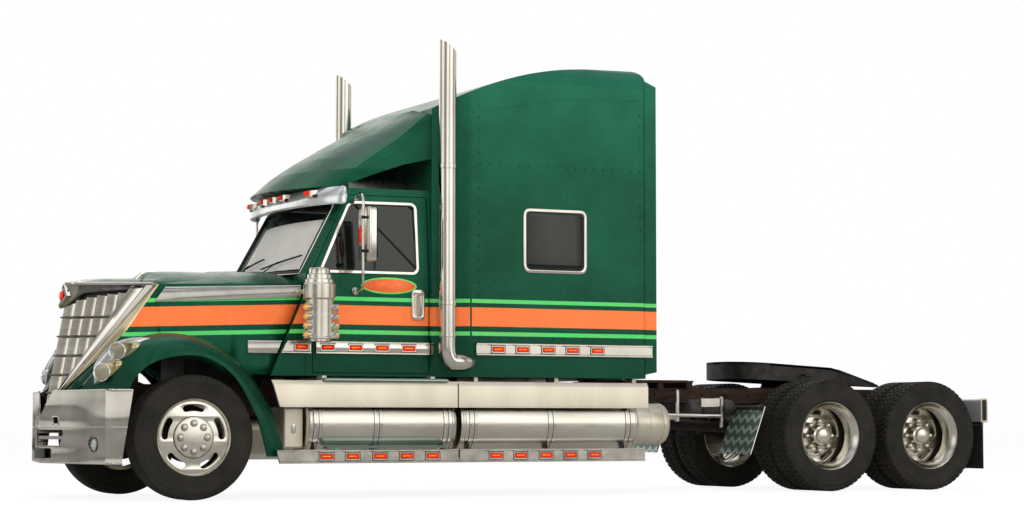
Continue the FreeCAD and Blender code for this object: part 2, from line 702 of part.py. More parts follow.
# ---------------------------------------------------------------- roof fairing and visor
# One row a level: height, middle of the bow, end of the bow, half width at the end and rear
FAIRING_LEVELS = (
    (2705, -985, -1340, 925, 1020),
    (2870, -1178, -1505, 955, 1030),
    (3000, -1372, -1690, 968, 1035),
    (3170, -1663, -1935, 985, 1038),
    (3380, -2060, -2185, 980, 1000),
    (3455, -2196, -2203, 640, 650),
)


def fairing_solid(inset):
    rear = CAB_REAR
    sections = []
    for z, middle, end, half_end, half_rear in FAIRING_LEVELS:
        sections.append(cab_section(z - inset * 0.9, middle - inset * 1.4, end - inset,
                                    half_end - inset, half_rear - inset, rear))
    return loft(sections)


def roof_fairing():
    """Shell over the cab roof; its lower edge rises towards the rear."""
    outer = fairing_solid(0)
    shell = outer.cut(fairing_solid(14))
    under = side_prism([(-1300, 2500), (-1300, 2706), (-1420, 2722), (-1700, 2830),
                        (-1960, 2920), (CAB_REAR, 2978), (CAB_REAR - 60, 2978),
                        (CAB_REAR - 60, 2500)], -1200, 1200)
    feet = []
    for y in (520, -520):
        foot = box(-1620, -1560, y - 30, y + 30, ROOF_Z, 3300)
        feet.append(cut(foot, box(-1700, -1500, -900, 900, 2706, 3400).cut(fairing_solid(5))))
    floor = outer.common(box(-1440, -900, -1200, 1200, 2705, 2718))
    save("roof_fairing", fuse([shell.cut(under), floor] + feet))


def band(z0, arc0, z1, arc1, thick):
    """Curved blade between two bows, each (middle x, end x, half width)."""
    wires = []
    for z, (middle, end, half) in ((z0, arc0), (z1, arc1)):
        points = [(end, -half), ("arc", (middle, 0), (end, half)), (end - thick, half),
                  ("arc", (middle - thick, 0), (end - thick, -half))]
        wires.append(wire(points, lambda x, y, level=z: V(x, y, level)))
    return loft(wires)


def sun_visor():
    blade = band(2495, (-1085, -1345, 950), 2670, (-1215, -1440, 930), 14)
    lamps = []
    for y, x in ((-620, -1262), (-180, -1160), (0, -1150), (180, -1160), (620, -1262)):
        lamps.append(box(x - 70, x + 22, y - 42, y + 42, 2600, 2640))
    brackets = []
    for y, rear, front in ((860, -1500, -1300), (300, -1340, -1175)):
        brackets += pair(box(rear, front, y - 15, y + 15, 2610, 2640).cut(cab_solid(0, 0)))
    lamps = [lamp.cut(cab_solid(0, 0)) for lamp in lamps]
    save("sun_visor", fuse([blade] + lamps + brackets))


# ---------------------------------------------------------------- hood
# One row a station: x, half width at the bottom, at the shoulder, shoulder height, crown height
HOOD_STATIONS = (
    (HOOD_REAR, 1030, 985, 1842, 2000),
    (-400, 962, 858, 1834, 1972),
    (200, 880, 700, 1824, 1912),
    (1050, 760, 500, 1812, 1830),
)


def hood_loft(inset):
    sections = []
    for x, bottom, shoulder, height, crown in HOOD_STATIONS:
        end_x = x - 1 if x == HOOD_REAR and inset else x
        i = inset
        points = [(-bottom + i, HOOD_BOTTOM - 1 - i), (-shoulder + i, height - i),
                  ("arc", (0, crown - i), (shoulder - i, height - i)),
                  (bottom - i, HOOD_BOTTOM - 1 - i)]
        sections.append(wire(points, lambda y, z, level=end_x: V(level, y, z)))
    return loft(sections)


def rake_x(z):
    """Raked plane that carries the prow's edge and the lamps."""
    return TIP_X + (z - TIP_Z) * (CORNER_X - TIP_X) / (CORNER_Z - TIP_Z)


def behind_rake(inset):
    low, high = 500, 2300
    return side_prism([(-3000, low), (rake_x(low) - inset, low), (rake_x(high) - inset, high),
                       (-3000, high)], -1500, 1500)


def arch_outline(grow):
    """Wheel arch in side view, open below."""
    g = grow
    return [(580 + g, 200), (570 + g, 760), (556 + g, 926),
            ("arc", (95, 1208 + g), (-420 - g, 917)),
            ("arc", (-545 - g, 690), (-612 - g, 470)), (-640 - g, 360), (-640 - g, 200)]


def hood_rear_trim():
    """Room behind the hood's slanted shut line."""
    return side_prism([(-1300, SHUT_LINE[0][1])] + list(SHUT_LINE) + [(-1300, SHUT_LINE[-1][1])],
                      -1500, 1500)


def ahead_of_shut_line():
    """Room that the hood takes, with its running gap, in side view."""
    line = [(x - GAP - 2, z) for x, z in SHUT_LINE]
    return side_prism([(-300, line[0][1])] + line + [(-300, line[-1][1])], -1500, 1500)


def windshield_base_room():
    """What the hood leaves free so that its crown swings clear of the windshield's base."""
    grown = -15
    base = cab_section(1700, -880 - grown, FIREWALL_X - 45 - grown, 990 - grown,
                       CAB_HALF - grown, CAB_REAR)
    return Part.Face(base).extrude(V(0, 0, BELT_Z - 1700)).fuse(cab_solid(grown, 0))


def prow_x(y, z):
    """Face of the prow at a half width y and height z."""
    sweep = (TIP_X - PROW_LEAN * (CORNER_Z - TIP_Z) - CORNER_X) / CORNER_Y
    return TIP_X - PROW_LEAN * (z - TIP_Z) - sweep * y


def prow_plate(points, front, back):
    """Plate on the left prow face: outline in (y, z), from front ahead of it to back behind."""
    face = Part.Face(wire(points, lambda y, z: V(prow_x(y, z) + front, y, z)))
    return face.extrude(V(-(front + back), 0, 0))


def edge_y(z):
    """Half width of the prow at height z, on its raked edge."""
    return CORNER_Y * (z - TIP_Z) / (CORNER_Z - TIP_Z)


# Room that a steered tyre sweeps about its kingpin: radius, height
STEERING_ROOM = ((628, 300), (630, 380), (645, 526), (624, 690), (583, 800), (504, 926),
                 (434, 1000), (372, 1060))


def steering_rooms():
    face = Part.Face(wire([(0, STEERING_ROOM[0][1])] + list(STEERING_ROOM)
                          + [(0, STEERING_ROOM[-1][1])], lambda r, z: V(r, KINGPIN_Y, z)))
    return pair(face.revolve(V(0, KINGPIN_Y, 0), V(0, 0, 1), 360))


def hood_shell():
    front = behind_rake(0)
    outer = hood_loft(0).common(front)
    inner = hood_loft(HOOD_T).common(behind_rake(HOOD_T))
    mouth = front_prism([(0, TIP_Z), (edge_y(1830) - 8, 1822), (-edge_y(1830) + 8, 1822)],
                        100, 1200)
    low_rear = box(-1400, -560, -1400, 1400, 700, HOOD_REAR_BOTTOM)
    trims = [side_prism(arch_outline(0), -1400, 1400), hood_rear_trim(), low_rear,
             windshield_base_room(),
             box(-1400, 1400, -1400, 1400, 500, HOOD_BOTTOM)] + steering_rooms()
    shell = cut(outer, inner, mouth, *trims)
    side = 390
    ear = side_prism([(812, 940), (812, 900), (835, 889), (866, 889), (866, 921), (840, 940),
                      (790, 1010), (770, 1010)], side - 26, side)
    bore = rod((TILT_X, 300, TILT_Z), (TILT_X, 500, TILT_Z), 11 + FIT)
    ears = pair(ear.cut(bore))
    save("hood_shell", fuse([shell] + ears))
    return cut(outer, *trims), shell


def lamp_pods(grow):
    """Barrels of the twin head lamps."""
    pods = []
    for x, y, z, radius in ((800, 975, 1052, 74), (655, 1000, 1232, 70)):
        pods += pair(rod((x - 210, y, z), (x, y, z), radius + grow))
    return pods


def fenders(hood_solid):
    crest = [(rake_x(HOOD_BOTTOM), HOOD_BOTTOM), (rake_x(1290), 1290),
             ("arc", (190, 1398), (-264, 1291)), ("arc", (-555, 1015), (-729, 715)),
             (-793, 483), (-812, 380), (-640, 380), (-640, 340), (-300, 340), (0, 340),
             (556, 340), (556, HOOD_BOTTOM)]
    arch = side_prism(arch_outline(0), 0, 1400)
    inner_y, lip_y, outer_y = 1045, 1120, 1166
    lip = side_prism(crest, inner_y, lip_y)
    edge = []
    for y, inset in ((lip_y, 0), (1150, 18), (outer_y, 52)):
        i = inset
        points = [(rake_x(HOOD_BOTTOM) - i * 1.4, HOOD_BOTTOM), (rake_x(1290) - i * 0.8, 1290 - i),
                  ("arc", (190, 1398 - i), (-264 + i * 0.4, 1291 - i)),
                  ("arc", (-555 + i * 0.7, 1015 - i * 0.7), (-729 + i, 715)),
                  (-793 + i, 483), (-812 + i, 380), (-640, 380), (556, 380), (556, HOOD_BOTTOM)]
        edge.append(wire(points, lambda x, z, level=y: V(x, level, z)))
    shelf = side_prism(crest, 700, inner_y).common(box(-470, 1400, 0, 1400, HOOD_BOTTOM, 1500))
    body = fuse([lip, loft(edge), shelf])
    rail_room = box(-1400, -500, 900, CAB_HALF + RAIL_PROUD + 8, 300, LEG_NARROW_Z)
    body = cut(body, arch, hood_solid, steering_rooms()[0], rail_room, *lamp_pods(0))
    body = body.cut(prow_plate([(0, 600), (900, 600), (900, 2000), (0, 2000)], 600, 0))
    save("fenders", *pair(body))
    save("headlights", *[pod.cut(hood_solid) for pod in lamp_pods(0)])


def grille_surround():
    """Bright frame of the prow: band along the raked edge and crown over the nose."""
    band_w = 88
    z_top = CORNER_Z
    halves = []
    inner_bottom = 830
    outline_band = [(0, TIP_Z), (edge_y(z_top), z_top), (edge_y(z_top) - band_w, z_top),
                    (0, inner_bottom)]
    crown = [(0, 1610), (edge_y(z_top) - band_w + 4, 1795), (edge_y(z_top), z_top),
             (0, NOSE_TOP_Z)]
    for outline in (outline_band, crown):
        halves.append(prow_plate(outline, 0, 70))
    cap_points = [prow_point(0, NOSE_TOP_Z), prow_point(CORNER_Y, z_top),
                  V(CORNER_X - 40, CORNER_Y, z_top), V(CORNER_X - 40, 0, NOSE_TOP_Z + 22)]
    lower_points = [point - V(0, 0, 26) for point in cap_points]
    cap = hull_prism(cap_points, lower_points)
    surround = fuse(pair(fuse(halves)))
    return surround, cap


def prow_point(y, z):
    return V(prow_x(y, z), y, z)


def hull_prism(top, bottom):
    """Solid between two quadrilaterals, their faces split into triangles."""
    faces = []

    def triangle(a, b, c):
        faces.append(Part.Face(Part.makePolygon([a, b, c, a])))
    triangle(top[0], top[1], top[2])
    triangle(top[0], top[2], top[3])
    triangle(bottom[0], bottom[2], bottom[1])
    triangle(bottom[0], bottom[3], bottom[2])
    for i in range(4):
        j = (i + 1) % 4
        triangle(top[i], bottom[i], bottom[j])
        triangle(top[i], bottom[j], top[j])
    return Part.Solid(Part.Shell(faces))


def grille(shell):
    surround, cap = grille_surround()
    surround = surround.cut(shell)
    cap = cap.cut(hood_loft(0).common(behind_rake(0)))
    body = fuse([surround] + pair(cap))
    # bright mouldings along the hood sides
    moulding = cut(hood_loft(-16).common(box(HOOD_REAR, 1200, 400, 1200, 1692, 1838)),
                   hood_loft(0), hood_rear_trim())
    moulding = moulding.common(behind_rake(70))
    lower = cut(hood_loft(-30).common(box(-1400, -520, 500, 1200, RAIL_LOW, RAIL_HIGH)),
                hood_loft(0), hood_rear_trim())
    save("hood_brightwork", body, *(pair(moulding) + pair(lower)))
    slats = []
    count, pitch = 7, 92
    for index in range(count):
        y0 = 14 + index * pitch
        y1 = y0 + 58
        bottom = [edge_bottom(y) for y in (y0, y1)]
        top = [crown_bottom(y) for y in (y0, y1)]
        if top[1] - bottom[1] < 20:
            continue
        outline = [(y0, bottom[0]), (y1, bottom[1]), (y1, top[1]), (y0, top[0])]
        slats.append(prow_plate(outline, -22, 64))
    bars = []
    for z in (905, 1060, 1225, 1390, 1555):
        reach = (z - 830) / (CORNER_Z - 830) * (CORNER_Y - 88)
        bars.append(prow_plate([(0, z - 9), (reach, z - 9), (reach + 8, z + 9), (0, z + 9)], 4, 60))
    window = prow_plate([(0, 830), (CORNER_Y - 88, CORNER_Z), (CORNER_Y - 84, 1795), (0, 1610)],
                        20, 100)
    whole = fuse(slats + bars).common(window)
    save("grille", *(fuse(pair(whole)).Solids))


def edge_bottom(y):
    """Height of the band's inner edge at half width y."""
    return 830 + y * (CORNER_Z - 830) / (CORNER_Y - 88)


def crown_bottom(y):
    return 1610 + y * (1795 - 1610) / (CORNER_Y - 84)


# ---------------------------------------------------------------- bright work and tanks
def exhaust():
    pieces = []
    bend = 150
    stack = rod((STACK_X, STACK_Y, 1330), (STACK_X, STACK_Y, STACK_TOP + 20), STACK_R)
    mouth = side_prism([(STACK_X + 200, STACK_TOP + 140), (STACK_X + STACK_R, STACK_TOP),
                        (STACK_X - STACK_R, STACK_TOP - 120), (STACK_X - 300, STACK_TOP - 300),
                        (STACK_X - 300, STACK_TOP + 140)], 1000, 1400)
    bore = rod((STACK_X, STACK_Y, STACK_TOP - 900), (STACK_X, STACK_Y, STACK_TOP + 200),
               STACK_R - 4)
    stack = cut(stack, mouth, bore)
    turn = Part.makeTorus(bend, STACK_R, V(STACK_X - bend, STACK_Y, 1330), V(0, 1, 0))
    turn = turn.common(box(STACK_X - bend, STACK_X + 200, STACK_Y - 100, STACK_Y + 100,
                           1000, 1330))
    angle = math.radians(40)
    leg_end = (STACK_X - bend - 150, STACK_Y - 150 * math.tan(angle), 1330 - bend)
    leg = rod((STACK_X - bend, STACK_Y, 1330 - bend), leg_end, STACK_R)
    knee = Part.makeSphere(STACK_R, V(STACK_X - bend, STACK_Y, 1330 - bend))
    whole = fuse([stack, turn, knee, leg]).cut(sleeper_solid(0))
    whole = max(whole.Solids, key=lambda solid: solid.Volume)
    clamp = [box(STACK_X - 20, STACK_X + 20, 1050, STACK_Y, z, z + 40).cut(sleeper_solid(0))
             for z in (1700, 2900)]
    whole = fuse([whole] + clamp)
    pieces += pair(whole)
    canister = rod((-4700, 760, 640), (-4246, 760, 640), 190)
    pieces += pair(fuse([canister, box(-4600, -4540, RAIL_Y, 700, 710, 760)]))
    save("exhaust", *pieces)


def air_cleaners():
    x, y = CLEANER_X, CLEANER_Y
    steps = ((1330, 1358, 100), (1358, 1372, 134), (1372, 1710, CLEANER_R), (1710, 1800, 132),
             (1800, 1812, 138), (1812, 1840, 126), (1840, 1885, 100), (1885, 1935, 76),
             (1935, 1965, 62))
    can = fuse([rod((x, y, z0), (x, y, z1), radius) for z0, z1, radius in steps])
    bracket = box(x - 10, x + 28, CAB_HALF - 60, y - 60, 1725, 1790)
    low_bracket = box(x - 10, x + 28, CAB_HALF - 60, y - 60, 1385, 1425)
    lamps = []
    for z in (1390, 1468, 1546, 1624):
        lamps.append(rod((x + 100, y + 20, z), (x + 150, y + 42, z), 30))
        lamps.append(rod((x - 60, y + 85, z), (x - 118, y + 96, z), 30))
    whole = fuse([can, bracket, low_bracket] + lamps).cut(cab_solid(0, 0))
    save("air_cleaners", *pair(max(whole.Solids, key=lambda solid: solid.Volume)))


def fuel_tanks():
    solids = []
    for x0, x1, straps in ((-2405, -1015, (-1090, -1650, -2310)),
                           (-4246, -2440, (-2560, -3340, -4130))):
        tank = rod((x0, TANK_Y, TANK_Z), (x1, TANK_Y, TANK_Z), TANK_R)
        edges = [edge for edge in tank.Edges if edge.Curve.TypeId == "Part::GeomCircle"]
        tank = tank.makeFillet(28, edges)
        pieces = [tank]
        for x in straps:
            for offset in (-24, 24):
                pieces.append(rod((x + offset - 14, TANK_Y, TANK_Z),
                                  (x + offset + 14, TANK_Y, TANK_Z), TANK_R + 5))
            pieces.append(box(x - 40, x + 40, RAIL_Y, TANK_Y - 180, 740, 900))
            pieces.append(box(x - 20, x + 20, TANK_Y, SKIRT_Y, 345, 385))
            pieces.append(box(x - 20, x + 20, TANK_Y, SKIRT_Y, 800, 840))
        solids += pair(fuse(pieces))
    save("fuel_tanks", *solids)


def side_skirts():
    """Bright skirts below the doors and sleeper, with step treads and the toolbox."""
    def panel(x0, x1):
        section = [(SKIRT_Y, 780), (SKIRT_Y + SKIRT_T, 780), (SKIRT_Y + SKIRT_T, 975),
                   (SKIRT_Y, 1010)]
        return front_prism(section, x0, x1)
    cab_panel = panel(-2390, -660)
    slant = side_prism([(-600, 1030), (-655, 1030), (-735, 770), (-600, 770)], 1100, 1300)
    cab_panel = cab_panel.cut(slant)
    shelf = box(-2390, -1100, 1060, SKIRT_Y, 985, 1010)
    tread = box(-2300, -1130, 1060, SKIRT_Y + SKIRT_T + 10, 1010, 1030)
    posts = [box(x - 20, x + 20, 1000, 1090, 985, CAB_FLOOR) for x in (-1160, -2180)]
    cab_skirt = fuse([cab_panel, shelf, tread] + posts)
    sleeper_panel = panel(-4310, -2400)
    sleeper_shelf = box(-4310, -2520, 1060, SKIRT_Y, 985, 1010)
    hangers = [box(x - 20, x + 20, 1060, 1150, 985, CAB_FLOOR) for x in (-2600, -3400, -4200)]
    sleeper_skirt = fuse([sleeper_panel, sleeper_shelf] + hangers)
    rails = []
    for x0, x1 in ((-2395, -700), (-4270, -2410)):
        rail = box(x0, x1, SKIRT_Y, SKIRT_Y + 35, 303, 420)
        pieces = [rail]
        if x1 > -1000:
            pieces.append(box(-2300, -1150, SKIRT_Y - 60, SKIRT_Y + 50, 430, 452))
            pieces += [box(x - 15, x + 15, SKIRT_Y, SKIRT_Y + 30, 415, 432)
                       for x in (-1250, -1720, -2200)]
        rails.append(fuse(pieces))
    toolbox = fuse([box(-1008, -835, 620, 1030, 430, 780), box(-980, -860, RAIL_Y, 640, 720, 770)])
    save("side_skirts", *(pair(cab_skirt) + pair(sleeper_skirt) + pair(toolbox)))
    return pair(rails[0]) + pair(rails[1])


def side_rails(lower_rails):
    skin = CAB_HALF
    solids = list(lower_rails)
    cowl = cut(box(DOOR_FRONT + HINGE_SETBACK, -700, skin - COWL_SET_IN, skin + RAIL_PROUD,
                   RAIL_LOW, RAIL_HIGH), cab_solid(0, 0), ahead_of_shut_line())
    solids += pair(cowl)
    post = box(CAB_REAR - 4, DOOR_REAR, skin, skin + RAIL_PROUD, RAIL_LOW, RAIL_HIGH)
    solids += pair(post)
    sleeper_rail = box(-4340, -2560, SLEEPER_HALF, SLEEPER_HALF + RAIL_PROUD, RAIL_LOW, RAIL_HIGH)
    solids += pair(sleeper_rail)
    save("side_rails", *solids)


def cowl_side():
    """Fixed cowl panel between the hood's shut line and the left door."""
    panel = box(FIREWALL_X - 30, -600, CAB_HALF - CAB_WALL, CAB_HALF - COWL_SET_IN, CAB_FLOOR, 1900)
    return panel.cut(ahead_of_shut_line())


def marker_lamps():
    lenses = []
    y = SLEEPER_HALF + RAIL_PROUD
    for x in (-2773, -3015, -3271, -3517, -3769):
        lenses += pair(box(x - 45, x + 45, y, y + 14, 1268, 1324))
    y = SKIRT_Y + 35
    for x in (-1156, -1396, -1651, -1901, -2148, -2763, -3005, -3259, -3506, -3750):
        lenses += pair(box(x - 45, x + 45, y, y + 14, 335, 390))
    save("marker_lamps", *lenses)


# ---------------------------------------------------------------- rear of the frame
def rear_pieces():
    tank = rod((-5560, 640, 790), (-5050, 640, 790), 80)
    post = box(-4965, -4925, 620, 660, 660, 960)
    pipe = rod((-4945, 640, 700), (-4700 - FIT, 640, 700), 22)
    arm = box(-4965, -4925, RAIL_Y, 660, 880, 920)
    tank_arm = box(-5340, -5290, RAIL_Y, 640, 800, 850)
    save("air_tanks", *(pair(fuse([post, pipe, arm])) + pair(fuse([tank, tank_arm]))))

    lean = side_prism([(-5445, 355), (-5437, 355), (-5600, 800), (-5608, 800)], 600, 1150)
    hanger = rod((-5596, RAIL_Y, 790), (-5596, 1130, 790), 22)
    save("quarter_fenders", *pair(fuse([lean, hanger])))

    outer = box(TAIL_X, TAIL_X + 80, -1180, 1180, 660, 887)
    inner = box(TAIL_X + 8, TAIL_X + 72, -1200, 1200, 668, 879)
    stays = pair(box(TAIL_X + 80, FRAME_REAR, 340, 425, 740, 860))
    save("light_bar", fuse([outer.cut(inner)] + stays))
    flap = front_prism([(600, 200), (1150, 200), (1150, 660), (600, 660)],
                       TAIL_X + 32, TAIL_X + 42)
    save("mud_flaps", *pair(flap))


def fifth_wheel():
    base = []
    base.append(box(PIVOT_X - 260, PIVOT_X + 260, -430, 430, FRAME_TOP, FRAME_TOP + 22))
    for y in (300, -300):
        ear = side_prism([(PIVOT_X - 110, FRAME_TOP + 22), (PIVOT_X - 45, PIVOT_Z + 45),
                          (PIVOT_X + 45, PIVOT_Z + 45), (PIVOT_X + 110, FRAME_TOP + 22)],
                         y - 30, y + 30)
        base.append(ear)
    pin = rod((PIVOT_X, -418, PIVOT_Z), (PIVOT_X, 418, PIVOT_Z), 20)
    save("fifth_wheel_mount", fuse(base + [pin]))

    outline = [(-5780, 1075), PLATE_FRONT, PLATE_REAR, (-7490, 1030), (-7490, 1004),
               (-7000, 1060), (-6400, 1060)]
    slab = side_prism(outline, -PLATE_HALF, PLATE_HALF)
    corner_cuts = pair(plan_prism([(-5700, 520), (-5700, 230), (-5780, 230), (-5980, 480),
                                   (-5980, 520)], 900, 1400))
    throat = plan_prism([(-7600, -210), (-6720, -27), (-6720, 27), (-7600, 210)], 900, 1400)
    slope = (PLATE_FRONT[1] - PLATE_REAR[1]) / (PLATE_FRONT[0] - PLATE_REAR[0])
    seat_z = PLATE_REAR[1] + (PIVOT_X - PLATE_REAR[0]) * slope
    kingpin = rod((PIVOT_X + 300 * slope, 0, seat_z - 300), (PIVOT_X - 300 * slope, 0, seat_z + 300),
                  KINGPIN_SEAT_R)
    relief = box(PIVOT_X - 140, PIVOT_X + 140, -480, 480, 900, 1172)
    pockets = [box(-6420, -5860, y0, y1, 900, 1180) for y0, y1 in ((-420, -60), (60, 420))]
    lugs = []
    for y in (385, -385):
        lugs.append(box(PIVOT_X - 50, PIVOT_X + 50, y - 25, y + 25, PIVOT_Z - 45, 1200))
    lug_bore = rod((PIVOT_X, -480, PIVOT_Z), (PIVOT_X, 480, PIVOT_Z), 20 + FIT)
    slab = cut(slab, throat, relief, *(corner_cuts + pockets))
    top_limit = side_prism(outline[:4] + [(-7490, 900), (-5780, 900)], -PLATE_HALF, PLATE_HALF)
    lugs = [lug.common(top_limit) for lug in lugs]
    boss = rod((PIVOT_X, 0, 1130), (PIVOT_X, 0, 1200), 70).common(top_limit)
    plate = cut(fuse([slab, boss] + lugs), kingpin, lug_bore)
    save("fifth_wheel_plate", plate)


# ---------------------------------------------------------------- build
def main():
    wheels()
    frame()
    front_axle()
    drive_axles()
    left_knuckle = knuckle()
    save("knuckle_left", left_knuckle)
    save("knuckle_right", mirrored(left_knuckle))
    save("tie_rod", tie_rod())
    engine()
    bumper()
    windshield = cab_and_doors()
    cab_interior()
    steering_wheel()
    sleeper(windshield)
    roof_fairing()
    sun_visor()
    hood_solid, hood_skin = hood_shell()
    fenders(hood_solid)
    grille(hood_skin)
    exhaust()
    air_cleaners()
    fuel_tanks()
    side_rails(side_skirts())
    marker_lamps()
    rear_pieces()
    fifth_wheel()


main()
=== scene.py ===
"""Scene for the truck tractor: detailed pieces and materials dressed over the frame."""
import math

import bmesh
import bpy
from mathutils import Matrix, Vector
from mathutils.bvhtree import BVHTree


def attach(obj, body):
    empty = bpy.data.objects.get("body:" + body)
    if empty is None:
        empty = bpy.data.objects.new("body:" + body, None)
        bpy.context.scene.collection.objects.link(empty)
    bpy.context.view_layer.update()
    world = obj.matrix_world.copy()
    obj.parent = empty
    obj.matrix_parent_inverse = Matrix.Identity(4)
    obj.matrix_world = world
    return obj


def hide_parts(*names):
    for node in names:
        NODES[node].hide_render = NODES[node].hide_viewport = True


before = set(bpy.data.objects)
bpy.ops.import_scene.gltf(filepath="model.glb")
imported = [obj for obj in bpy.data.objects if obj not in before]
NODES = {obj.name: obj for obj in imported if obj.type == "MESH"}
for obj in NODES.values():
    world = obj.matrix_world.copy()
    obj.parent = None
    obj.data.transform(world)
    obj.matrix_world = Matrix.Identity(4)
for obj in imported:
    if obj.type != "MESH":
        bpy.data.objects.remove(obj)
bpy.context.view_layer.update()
AXLE = 3.585          # front axle along X in the row frame; pieces are laid out from it


# ------------------------------------------------------------------ node helpers
class Tree:
    """Small wrapper for writing the nodes of a material or a world."""

    def __init__(self, name, kind="materials", coords="Object"):
        self.owner = getattr(bpy.data, kind).new(name)
        self.owner.use_nodes = True
        self.nodes, self.links = self.owner.node_tree.nodes, self.owner.node_tree.links
        self.shader = self.nodes.get("Principled BSDF")
        self.coords = self.node("TexCoord").outputs[coords]

    def node(self, kind, inputs=(), **settings):
        """A new node. Inputs pairs a socket's name or number with a value or another socket."""
        made = self.nodes.new("ShaderNode" + kind)
        for key, value in settings.items():
            setattr(made, key, value)
        for key, value in dict(inputs).items():
            self.feed(made.inputs[key], value)
        return made

    def feed(self, socket, value):
        if isinstance(value, bpy.types.NodeSocket):
            self.links.new(value, socket)
        elif socket.type == "RGBA" and len(value) == 3:
            socket.default_value = (*value, 1)
        else:
            socket.default_value = value

    def split(self, vector):
        return self.node("SeparateXYZ", {0: vector}).outputs

    def noise(self, scale, detail=3.0, rough=0.5, stretch=None):
        vector = self.coords
        if stretch:
            vector = self.node("Mapping", {"Scale": stretch, "Vector": vector}).outputs["Vector"]
        return self.node("TexNoise", {"Scale": scale, "Detail": detail, "Roughness": rough,
                                      "Vector": vector}).outputs["Fac"]

    def remap(self, value, low, high, to_low, to_high):
        return self.node("MapRange", {"Value": value, "From Min": low, "From Max": high,
                                      "To Min": to_low, "To Max": to_high}).outputs["Result"]

    def math(self, operation, *values):
        return self.node("Math", dict(enumerate(values)), operation=operation).outputs[0]

    def ramp(self, value, stops, mode="LINEAR"):
        made = self.node("ValToRGB", {"Fac": value})
        made.color_ramp.interpolation = mode
        elements = made.color_ramp.elements
        while len(elements) > 1:
            elements.remove(elements[-1])
        elements[0].position, elements[0].color = stops[0][0], (*stops[0][1], 1)
        for position, colour in stops[1:]:
            elements.new(position).color = (*colour, 1)
        return made.outputs["Color"]

    def mix(self, factor, a, b, blend="MIX"):
        inputs = {0: factor, 6: a, 7: b}
        return self.node("Mix", inputs, data_type="RGBA", blend_type=blend).outputs[2]

    def over(self, factor, a, b):
        """A mix of two shaders."""
        return self.node("MixShader", {0: factor, 1: a, 2: b}).outputs[0]

    def bump(self, height, strength, distance):
        inputs = {"Strength": strength, "Distance": distance, "Height": height}
        self.set(Normal=self.node("Bump", inputs).outputs["Normal"])

    def set(self, **values):
        for key, value in values.items():
            self.feed(self.shader.inputs[key.replace("_", " ")], value)


def srgb(text):
    """Linear colour from a hex string."""
    def linear(c):
        return c / 12.92 if c <= 0.04045 else ((c + 0.055) / 1.055) ** 2.4
    return tuple(linear(int(text[i:i + 2], 16) / 255) for i in (0, 2, 4))


def plain(name, light, dark, metallic, rough, rough_range=0.1, scale=3.0, stretch=None,
          bump=0.0, bump_scale=200.0, bump_stretch=None, coat=0.0, specular=0.5, depth=0.002):
    """Material whose colour, roughness and relief vary by noise between two tones."""
    t = Tree(name)
    half = rough_range / 2
    tone = t.ramp(t.noise(scale, 5.0, 0.6, stretch), [(0.3, srgb(dark)), (0.7, srgb(light))])
    worn = t.remap(t.noise(scale * 4, 4.0, 0.6, stretch), 0.3, 0.7, rough - half, rough + half)
    t.set(Base_Color=tone, Roughness=worn, Metallic=metallic, Coat_Weight=coat,
          Specular_IOR_Level=specular)
    if bump:
        t.bump(t.noise(bump_scale, 0.0 if depth > 0.005 else 3.0, 0.5, bump_stretch), bump, depth)
    return t.owner


# ------------------------------------------------------------------ materials
GREEN, DEEP_GREEN = srgb("0F4C36"), srgb("093826")
LIGHT_GREEN, ORANGE = srgb("4FCB69"), srgb("F4753C")
BLACK, WHITE = (0, 0, 0), (1, 1, 1)
# height in metres at the bottom and top of each stripe, at the cab
STRIPES = ((1.414, 1.449, LIGHT_GREEN), (1.497, 1.663, ORANGE), (1.702, 1.737, LIGHT_GREEN))
STRIPES_LOW, STRIPES_HIGH = 1.38, 1.78
# painted shading: the paint is lighter towards the roof and darker near the sills
PAINTED_HEIGHT_SHADE = ((0.0, (0.35, 0.45, 0.4)), (0.22, (0.8, 0.84, 0.8)), (0.7, WHITE), (1.0, (1.9, 1.45, 1.6)))


def paint(name, stripes):
    t = Tree(name)
    x, _, z = t.split(t.coords)
    tone = t.ramp(t.noise(1.3, 4.0, 0.6), [(0.35, DEEP_GREEN), (0.65, GREEN)])
    # painted shading by height, multiplied into the paint's tone
    tone = t.mix(1.0, tone, t.ramp(t.remap(z, 0.9, 3.7, 0.0, 1.0), PAINTED_HEIGHT_SHADE), "MULTIPLY")
    if stripes:
        # the stripes drop a little towards the nose
        forward = t.remap(x, AXLE - 1.0, AXLE + 0.45, 0.0, 1.0)
        height = t.math("MULTIPLY_ADD", forward, 0.042, z)
        height = t.remap(height, STRIPES_LOW, STRIPES_HIGH, 0.0, 1.0)
        stops = [(0.0, BLACK)]
        for bottom, top, colour in STRIPES:
            for level, shade in ((bottom, colour), (top, BLACK)):
                stops.append(((level - STRIPES_LOW) / (STRIPES_HIGH - STRIPES_LOW), shade))
        bands = t.ramp(height, stops, "CONSTANT")
        mask = t.ramp(height, [(p, WHITE if sum(c) else BLACK) for p, c in stops], "CONSTANT")
        mask = t.node("SeparateColor", {0: mask}).outputs[0]
        # only faces that look sideways carry them
        sideways = t.split(t.node("TexCoord").outputs["Normal"])["Y"]
        facing = t.math("GREATER_THAN", t.math("ABSOLUTE", sideways), 0.55)
        faded = t.mix(t.remap(t.noise(2.2, 4.0), 0.35, 0.7, 0.0, 0.22), bands, srgb("C9480F"))
        tone = t.mix(t.math("MULTIPLY", mask, facing), tone, t.mix(0.5, bands, faded))
    t.set(Base_Color=tone, Roughness=t.remap(t.noise(7.0, 4.0), 0.3, 0.7, 0.24, 0.36), Metallic=0.0,
          Coat_Weight=0.05, Coat_Roughness=0.08, Specular_IOR_Level=0.55,
          Specular_Tint=(0.2, 0.78, 0.5))
    t.bump(t.noise(420.0, 2.0), 0.02, 0.001)
    return t.owner


